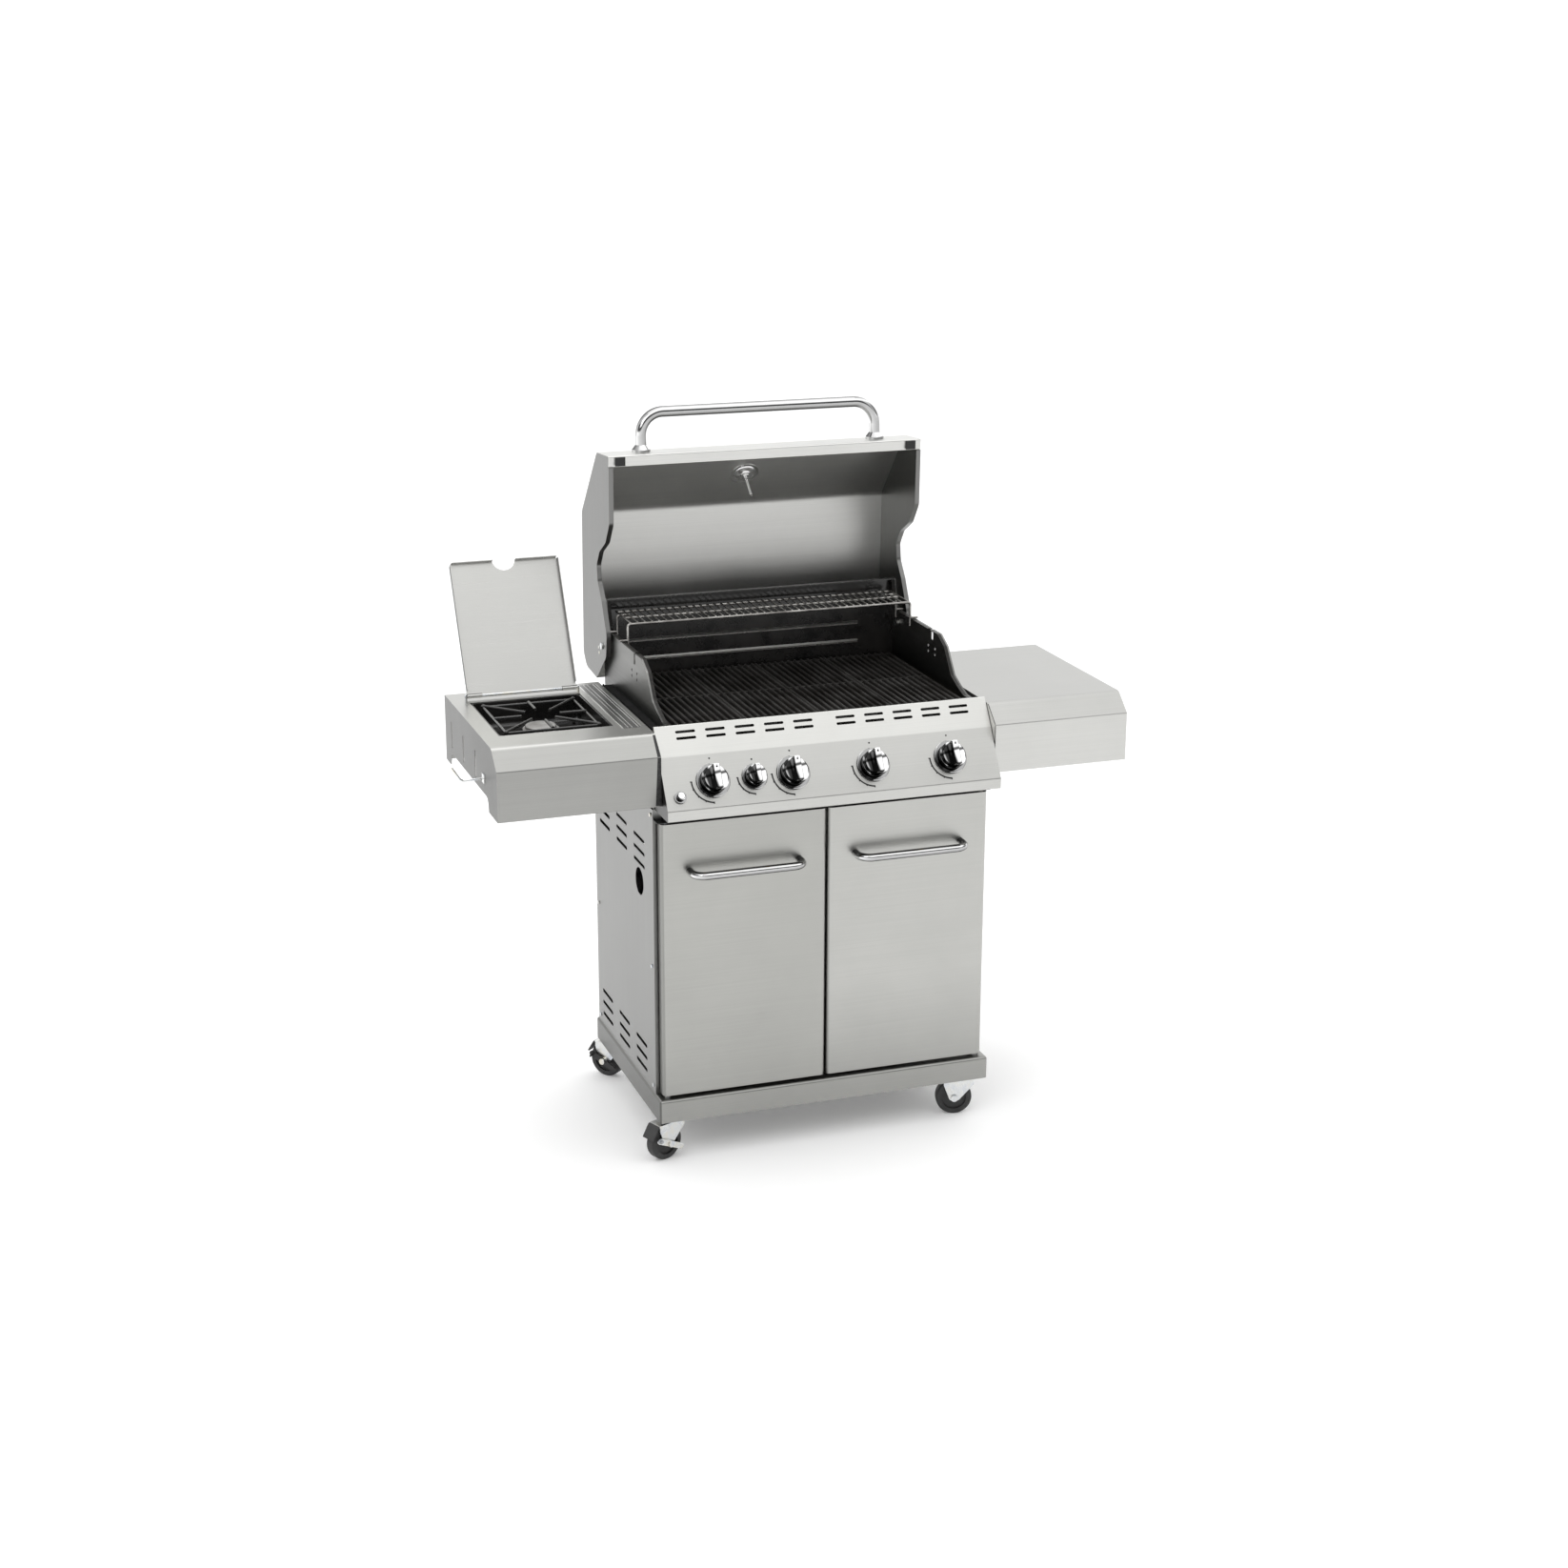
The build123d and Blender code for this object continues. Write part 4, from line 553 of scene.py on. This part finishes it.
def ink(name):
    """Baked black printing, very slightly worn."""
    material, tree, shader = new_material(name, Specular_IOR_Level=0.3)
    wear = noise(tree, even(500.0), detail=4.0)
    feed(
        tree, shader, ramp(tree, wear, (0.35, 0.006), (0.8, 0.06)),
        ramp(tree, wear, (0.3, 0.35), (0.7, 0.55)),
    )
    return material


# ---------------------------------------------------------------- mesh helpers


def finish_piece(name, builder, material, body):
    """A piece made from a bmesh, with its material, riding on its body."""
    mesh = bpy.data.meshes.new(name)
    builder.normal_update()
    builder.to_mesh(mesh)
    builder.free()
    mesh.materials.append(material)
    piece = bpy.data.objects.new(name, mesh)
    bpy.context.scene.collection.objects.link(piece)
    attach(piece, body)


def along(normal):
    """Rotation that takes Z to a normal and keeps X level."""
    up = normal.normalized()
    side = Vector((0.0, 1.0, 0.0)).cross(up) if abs(up.y) < 0.2 else Vector((1.0, 0.0, 0.0))
    side = (side - side.dot(up) * up).normalized()
    return Matrix((side, up.cross(side), up)).transposed()


def surface(node, start, direction):
    """Where a ray first meets a CAD node, and the surface's normal there."""
    hit, place, normal, _ = NODES[node].ray_cast(start, direction)
    if not hit:
        raise RuntimeError(f"no surface of {node} at {tuple(start)}")
    return place, normal


def polar(radius, angle, height):
    """The point at a radius, an angle in radians and a height."""
    return Vector((radius * cos(angle), radius * sin(angle), height))


def turned(builder, profile, matrix, segments=32):
    """A solid of revolution from (radius, height) points about the matrix's Z axis."""
    rings = []
    for radius, height in profile:
        ring = []
        for step in range(segments):
            angle = 2 * pi * step / segments
            ring.append(builder.verts.new(matrix @ polar(radius, angle, height)))
        rings.append(ring)
    for low, high in zip(rings, rings[1:]):
        for step in range(segments):
            after = (step + 1) % segments
            builder.faces.new((low[step], low[after], high[after], high[step])).smooth = True
    builder.faces.new(rings[0][::-1])
    builder.faces.new(rings[-1])


def skin(builder, rows):
    """A closed four-sided bar through rows of four points."""
    for first, second in zip(rows, rows[1:]):
        for side in range(4):
            after = (side + 1) % 4
            builder.faces.new((first[side], first[after], second[after], second[side]))
    builder.faces.new(rows[0][::-1])
    builder.faces.new(rows[-1])


def arc_strip(builder, matrix, inner, outer, start, end, thickness, steps=24):
    """A flat printed arc between two radii; angles in degrees, from the matrix's X axis."""
    rows = []
    for step in range(steps + 1):
        angle = radians(start + (end - start) * step / steps)
        row = []
        for radius, height in ((inner, 0.0), (outer, 0.0), (outer, thickness), (inner, thickness)):
            row.append(builder.verts.new(matrix @ polar(radius, angle, height)))
        rows.append(row)
    skin(builder, rows)


# ---------------------------------------------------------------- details


def panel_place(joint):
    """Matrix on the control panel's face, under a joint's axis, with Z outwards and Y up the face."""
    outward = Vector(joint["axis"])
    middle = Vector(joint["pos_m"])
    across = Vector((0.05, 0.0, 0.0))
    place, _ = surface("control_panel", middle + across + 0.1 * outward, -outward)
    turn = along(outward).to_4x4()
    return Matrix.Translation(place - across + PRINT_LIFT * outward) @ turn


def knob(number):
    """A knob's turning joint, and its size against the large knobs."""
    return JOINTS[f"knob_{number}_turn"], SMALL_KNOB_SCALE if number == SMALL_KNOB else 1.0


def knob_prints(material):
    """Printed marks on the panel: a dot above each knob and a setting scale down its left side."""
    for number in KNOB_NUMBERS:
        joint, scale = knob(number)
        matrix = panel_place(joint)
        builder = bmesh.new()
        dot = matrix @ Matrix.Translation((0.0, 0.041 * scale + 0.004, 0.0))
        turned(builder, [(0.0018, -DOT_SINK), (0.0018, 0.0001)], dot, 20)
        radius = 0.0375 * scale + 0.004
        arc_strip(builder, matrix, radius, radius + 0.0030, SCALE_TICKS[0], SCALE_TICKS[-1], 0.0001)
        for angle in SCALE_TICKS:
            arc_strip(builder, matrix, radius, radius + 0.0042, angle - 1.6, angle + 1.6, 0.00015, 2)
        finish_piece(f"knob_scale_{number}", builder, material, "cart")


def knob_dots(material):
    """A black dot on the upper end of each knob's grip."""
    for number in KNOB_NUMBERS:
        joint, scale = knob(number)
        outward = Vector(joint["axis"])
        upward = along(outward) @ Vector((0.0, 0.0175 * scale, 0.0))
        start = Vector(joint["pos_m"]) + 0.1 * outward + upward
        place, normal = surface(f"knob_{number}", start, -outward)
        builder = bmesh.new()
        matrix = Matrix.Translation(place) @ along(normal).to_4x4()
        turned(builder, [(0.0019 * scale, -0.0002), (0.0019 * scale, 0.0001)], matrix, 20)
        finish_piece(f"knob_dot_{number}", builder, material, f"knob_{number}")


def box_bar(builder, low, high):
    """A straight bar between two opposite corners, with slightly eased edges."""
    low, high = Vector(low), Vector(high)
    size = high - low
    matrix = Matrix.Translation((low + high) / 2) @ Matrix.Diagonal((*size, 1.0))
    made = bmesh.ops.create_cube(builder, size=1.0, matrix=matrix)
    edges = list({edge for vert in made["verts"] for edge in vert.link_edges})
    bmesh.ops.bevel(builder, geom=edges, offset=min(size) * 0.2, segments=2, affect="EDGES")


def beside_thermometer():
    """The thermometer's middle, a point on the hood's inner face beside it, and the normal there."""
    low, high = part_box("thermometer")
    middle = (low + high) / 2
    below = middle + Vector((0.07, -0.25, -0.25))
    return middle, *surface("hood_shell", below, Vector((0.0, 0.7071, 0.7071)))


def thermometer_dial(enamel, black):
    """The thermometer's pale face outside the hood, with a ring of ticks, a hub and a pointer."""
    outward = -beside_thermometer()[-1]
    points = [vert.co for vert in NODES["thermometer"].data.vertices]
    face = max(point.dot(outward) for point in points)
    rim = [point for point in points if point.dot(outward) > face - 0.0001]
    centre = sum(rim, Vector()) / len(rim)
    radius = max((point - centre).length for point in rim)
    matrix = Matrix.Translation(centre) @ along(outward).to_4x4()
    builder = bmesh.new()
    turned(builder, [(0.90 * radius, -0.0002), (0.90 * radius, 0.0001)], matrix, 48)
    finish_piece("thermometer_dial", builder, enamel, "hood")
    builder = bmesh.new()
    lifted = matrix @ Matrix.Translation((0.0, 0.0, 0.0001))
    end = DIAL_START + DIAL_SWEEP
    arc_strip(builder, lifted, 0.70 * radius, 0.73 * radius, DIAL_START, end, 0.0001, 48)
    for tick in range(DIAL_TICKS + 1):
        angle = DIAL_START + DIAL_SWEEP * tick / DIAL_TICKS
        inner, half = (0.62, 1.6) if tick % DIAL_LONG_TICK == 0 else (0.67, 0.8)
        arc_strip(builder, lifted, inner * radius, 0.80 * radius, angle - half, angle + half, 0.00015, 2)
    arc_strip(builder, lifted, 0.06 * radius, 0.58 * radius, 204.0, 210.0, 0.0002, 2)
    turned(builder, [(0.09 * radius, 0.0), (0.09 * radius, 0.0006), (0.07 * radius, 0.0009)], lifted, 24)
    finish_piece("thermometer_marks", builder, black, "hood")


def thermometer_washer(material):
    """Domed washer and nut around the thermometer's stem, inside the hood."""
    middle, place, normal = beside_thermometer()
    up_sheet = normal.cross(Vector((1.0, 0.0, 0.0))).normalized()
    centre = place + (middle - place).dot(up_sheet) * up_sheet
    centre.x = middle.x
    matrix = Matrix.Translation(centre) @ along(normal).to_4x4()
    builder = bmesh.new()
    turned(builder, WASHER_DOME, matrix, 40)
    turned(builder, WASHER_NUT, matrix, 6)
    finish_piece("thermometer_washer", builder, material, "hood")


def hood_rivets(material):
    """Two small rivets beside the pivot on each end of the hood."""
    pivot = Vector(JOINTS["hood_hinge"]["pos_m"])
    for name, side in (("left", -1.0), ("right", 1.0)):
        builder = bmesh.new()
        for back, drop in RIVETS:
            start = Vector((side * 2.0, pivot.y + back, pivot.z - drop))
            place, normal = surface(f"hood_end_{name}", start, Vector((-side, 0.0, 0.0)))
            matrix = Matrix.Translation(place) @ along(normal).to_4x4()
            turned(builder, RIVET_DOME, matrix, 20)
        finish_piece(f"hood_rivets_{name}", builder, material, "hood")


def door_split():
    """The X of the gap between the two doors."""
    return (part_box("door_left")[1].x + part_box("door_right")[0].x) / 2


def rear_slot_lips(material):
    """Bright folded lips along the two long air slots in the firebox's rear wall."""
    middle = door_split() - SLOT_OFFSET
    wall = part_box("firebox")[1].y - 0.002
    builder = bmesh.new()
    for height in SLOT_HEIGHTS:
        start = (middle - SLOT_HALF, wall - 0.0022, height - 0.0050)
        box_bar(builder, start, (middle + SLOT_HALF, wall + 0.0004, height - 0.0026))
    finish_piece("rear_slot_lips", builder, material, "cart")


def shelf_gap_shade_and_ridges(ridge, dark, plate):
    """A near-black bar of painted shade in the gap between each shelf and the firebox, and the left shelf's
    ridges beside it.
    """
    left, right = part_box("shelf_left"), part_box("shelf_right")
    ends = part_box("firebox_end_left"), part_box("firebox_end_right")
    top = left[1].z
    for name, start, stop in (
        ("gap_shade_left", left[1].x - 0.001, ends[0][0].x + 0.001),
        ("gap_shade_right", ends[1][1].x - 0.001, right[0].x + 0.001),
    ):
        builder = bmesh.new()
        box_bar(builder, (start, GAP_FRONT, top - 0.008), (stop, GAP_REAR, top - 0.006))
        wire = start + 0.008
        box_bar(builder, (wire, GAP_FRONT, top - 0.0065), (wire + 0.0025, GAP_REAR, top - 0.003))
        finish_piece(name, builder, dark, "cart")
    front, rear, foot = GAP_FRONT + RIDGE_INSET, GAP_REAR - RIDGE_INSET, top - RIDGE_SINK
    builder = bmesh.new()
    for inset, width in RIDGES:
        edge = left[1].x - inset
        box_bar(builder, (edge - width, front, foot), (edge, rear, top + RIDGE_TOP))
    finish_piece("shelf_ridges", builder, ridge, "cart")
    builder = bmesh.new()
    edge, last = left[1].x - RIDGES[0][0], left[1].x - RIDGES[-1][0]
    box_bar(builder, (last, front, foot), (edge, rear, top + 0.0004))
    finish_piece("shelf_ridge_plate", builder, plate, "cart")


def panel_end_gap_shadows(material):
    """A black strip of painted shadow in the joint between each end of the control panel and its shelf."""
    for name, side, foot_width, top_width in GAP_SHADOW_LINES:
        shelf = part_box(f"shelf_{name}")
        edge = shelf[side].x
        builder = bmesh.new()
        rows = []
        for step in range(GAP_STEPS + 1):
            height = GAP_FOOT + (shelf[1].z - GAP_FOOT - 0.002) * step / GAP_STEPS
            width = foot_width + (top_width - foot_width) * step / GAP_STEPS
            start = Vector((edge + width / 2, -2.0, height))
            place, _ = surface(f"shelf_{name}", start, Vector((0.0, 1.0, 0.0)))
            front = place.y - 0.0004
            back = front + 0.0006
            corners = ((edge, front), (edge + width, front), (edge + width, back), (edge, back))
            rows.append([builder.verts.new((x, y, height)) for x, y in corners])
        skin(builder, rows)
        bmesh.ops.recalc_face_normals(builder, faces=builder.faces[:])
        finish_piece(f"panel_gap_shadow_{name}", builder, material, "cart")


# ---------------------------------------------------------------- studio


def make_camera(origin):
    """The viewer stands left of the grill, above its hood, and looks a little down."""
    data = bpy.data.cameras.new("camera")
    data.lens = CAMERA_LENS
    data.sensor_width = CAMERA_SENSOR
    camera = bpy.data.objects.new("camera", data)
    bpy.context.scene.collection.objects.link(camera)
    turn = Matrix.Rotation(-CAMERA_YAW, 4, "Z") @ Matrix.Rotation(pi / 2 + CAMERA_PITCH, 4, "X")
    roll = Matrix.Rotation(CAMERA_ROLL, 4, "Z")
    camera.matrix_world = Matrix.Translation(origin + CAMERA_PLACE) @ turn @ roll
    bpy.context.scene.camera = camera


def softbox(name, place, aim, size, power):
    """A square area light that looks at a point."""
    data = bpy.data.lights.new(name, "AREA")
    data.shape = "SQUARE"
    data.size = size
    data.energy = power
    light = bpy.data.objects.new(name, data)
    bpy.context.scene.collection.objects.link(light)
    turn = (Vector(aim) - Vector(place)).to_track_quat("-Z", "Y").to_matrix().to_4x4()
    light.matrix_world = Matrix.Translation(place) @ turn


def make_world():
    """Soft studio walls, pale at floor level and bright above, with a dark band in front of the grill."""
    world = bpy.data.worlds.new("studio")
    world.use_nodes = True
    bpy.context.scene.world = world
    tree = world.node_tree
    background = tree.nodes["Background"]
    place = tree.nodes.new("ShaderNodeTexCoord")
    split = tree.nodes.new("ShaderNodeSeparateXYZ")
    tree.links.new(place.outputs["Generated"], split.inputs["Vector"])
    front = ramp(tree, split.outputs["Z"], *WALLS_FRONT)
    back = ramp(tree, split.outputs["Z"], *WALLS_BACK)
    behind = ramp(tree, split.outputs["Y"], (0.0, 0.0), (0.25, 1.0))
    tree.links.new(mix(tree, "MIX", behind, front, back), background.inputs["Color"])
    background.inputs["Strength"].default_value = WORLD_STRENGTH
    bpy.context.scene.view_settings.view_transform = "Standard"


def make_floor():
    """A wide pale floor."""
    builder = bmesh.new()
    bmesh.ops.create_grid(builder, x_segments=8, y_segments=8, size=FLOOR_SIZE)
    mesh = bpy.data.meshes.new("floor")
    builder.to_mesh(mesh)
    builder.free()
    material, tree, shader = new_material(
        "floor_paint", Roughness=0.7, Specular_IOR_Level=0.1,
        Emission_Color=(1.0, 1.0, 1.0, 1.0), Emission_Strength=0.15,
    )
    mottle = noise(tree, even(2.0), detail=2.0)
    tree.links.new(ramp(tree, mottle, (0.3, 0.895), (0.7, 0.905)), shader.inputs["Base Color"])
    mesh.materials.append(material)
    floor = bpy.data.objects.new("floor", mesh)
    bpy.context.scene.collection.objects.link(floor)


def dress(material, *names):
    """Gives CAD nodes a finish; a name that ends in * stands for every node that starts with it."""
    for name in names:
        found = [n for n in NODES if n == name or (name.endswith("*") and n.startswith(name[:-1]))]
        if not found:
            raise RuntimeError(f"no node named {name}")
        for node in found:
            data = NODES[node].data
            data.materials.clear()
            data.materials.append(material)


def dress_steel():
    """The brushed sheets, each given its own grey as painted light and shade, and the other sheets."""
    # Painted light and shade: these are all one stainless steel, each part given its own grey by how bright
    # it shows, with darker sides and lower parts.
    panel = brushed_steel("steel_panel", "X", (0.70, 0.70, 0.675), dim=(("-X", 0.14),), painted_shade_heights=PANEL_PAINTED_SHADE)
    left_door = brushed_steel("steel_door_left", "X", (0.42, 0.42, 0.40), painted_shade_heights=DOOR_LEFT_PAINTED_SHADE)
    right_door = brushed_steel("steel_door_right", "X", (0.49, 0.49, 0.47), painted_shade_heights=DOOR_RIGHT_PAINTED_SHADE)
    base = brushed_steel("steel_base", "X", (0.34, 0.34, 0.325), dim=(("-X", 0.44),))
    shelf = brushed_steel("steel_shelf_left", "X", (0.54, 0.54, 0.52), dim=(("-X", 0.23), ("-Y", 0.62)))
    plain_shelf = brushed_steel("steel_shelf_right", "X", (0.60, 0.60, 0.58), dim=(("+Z", 0.80),))
    hood = brushed_steel("steel_hood", "X", (0.68, 0.68, 0.66), rough=(0.36, 0.48))
    side = brushed_steel("steel_side", "Z", (0.25, 0.25, 0.243), dim=())
    hood_end = brushed_steel("steel_hood_end", "Z", (0.21, 0.21, 0.205), dim=())
    dress(panel, "control_panel")
    dress(left_door, "door_left")
    dress(right_door, "door_right")
    dress(base, "base_pan")
    dress(shelf, "shelf_left")
    dress(plain_shelf, "shelf_right")
    dress(lid_steel("steel_lid", (0.61, 0.61, 0.59)), "side_burner_lid")
    dress(hood, "hood_shell", "grease_tray")
    dress(side, "side_panel_left", "side_panel_right")
    dress(hood_end, "hood_end_left", "hood_end_right")
    dress(end_sheet("end_sheet_left", "firebox_end_left", "+X"), "firebox_end_left")
    dress(end_sheet("end_sheet_right", "firebox_end_right", "-X"), "firebox_end_right")
    dress(galvanised("galvanised"), "back_panel")


def dress_fittings():
    """Everything that isn't sheet: enamel, castings, plating, brass, paint and rubber."""
    # Painted shade: the cross rail behind the door tops is made near black, so that the gap above the doors
    # reads dark.
    dress(pipe_paint("rail_painted_shade", (0.012, 0.012, 0.012)), "cross_rail")
    dress(black_enamel("black_enamel"), "firebox", "side_burner_bowl", "side_burner_grate")
    dress(cast_iron("cast_iron"), "cooking_grates")
    # Painted reflections: the button, the knobs, the bezels and the tube handles have the studio's dark and
    # light painted into their colour.
    dress(chrome("button_chrome_painted_reflection", KNOB_PAINTED_LIGHT, *KNOB_PAINTED_REFLECTION), "igniter_button")
    for number in KNOB_NUMBERS:
        dress(knob_painted_reflection(f"knob_painted_reflection_{number}", *knob(number)), f"knob_{number}")
    dress(chrome("bezel_chrome_painted_reflection", KNOB_PAINTED_LIGHT, *BEZEL_PAINTED_REFLECTION), "knob_bezels")
    dress(polished("dial_chrome", (0.80, 0.80, 0.79)), "thermometer")
    tube_chrome_painted_reflection = chrome("tube_chrome_painted_reflection", TUBE_PAINTED_LIGHT, *TUBE_PAINTED_REFLECTION)
    dress(tube_chrome_painted_reflection, "hood_handle", "door_handle_left", "door_handle_right")
    dress(heated_steel("burner_steel"), "burners", "heat_tents")
    dress(wire_plate("wire_plate"), "warming_rack")
    dress(brass("brass"), "gas_valves", "valve_stem_*")
    dress(cast_aluminium("cast_aluminium"), "side_burner_supply", "side_burner_head")
    dress(pipe_paint("pipe_paint"), "gas_manifold")
    dress(zinc("zinc"), "caster_plates", "tool_hook", "hinge_pins", "screws", "lid_hinge")
    dress(zinc("zinc_casters"), "caster_fork_*", "brake_lever_front_left")
    # Painted shade: the rear left brake lever is made black, unlike the zinc front left one, because it
    # lies in shade.
    dress(rubber("lever_painted_shade"), "brake_lever_rear_left")
    for corner in BRAKED:
        swivel = JOINTS[f"caster_{corner}_swivel"]["pos_m"]
        axle = JOINTS[f"caster_{corner}_spin"]["pos_m"]
        dress(guarded_fork(f"guarded_fork_{corner}", swivel, axle), f"caster_fork_{corner}")
    dress(rubber("wheel_rubber"), "caster_wheel_*")
    dress(rubber("bumper_rubber", 0.012), "hood_bumpers")


def add_details():
    """The pieces that only the visual model has."""
    black = ink("black_ink_and_gap_shadow")
    knob_prints(black)
    knob_dots(black)
    thermometer_washer(polished("washer_steel", (0.95, 0.95, 0.94), (0.25, 0.35)))
    thermometer_dial(white_enamel("dial_enamel"), black)
    hood_rivets(zinc("rivet_zinc"))
    rear_slot_lips(wire_plate("slot_lip_steel"))
    ridge = polished("ridge_steel", (0.85, 0.85, 0.84), (0.15, 0.25))
    # Painted shade: near-black matte bars fill the gaps beside the shelves where shade falls.
    channel = rubber("gap_painted_shade", 0.012, (0.8, 0.9), 0.08)
    shelf_gap_shade_and_ridges(ridge, channel, brushed_steel("ridge_plate_steel", "Y", (0.27, 0.27, 0.265)))
    # The black used for the printing also paints the shadow in the joints at the panel's ends.
    panel_end_gap_shadows(black)


def main():
    make_camera(Vector((door_split(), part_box("door_left")[0].y, 0.0)))
    make_world()
    make_floor()
    for light in LIGHTS:
        softbox(*light)
    dress_steel()
    dress_fittings()
    add_details()


main()
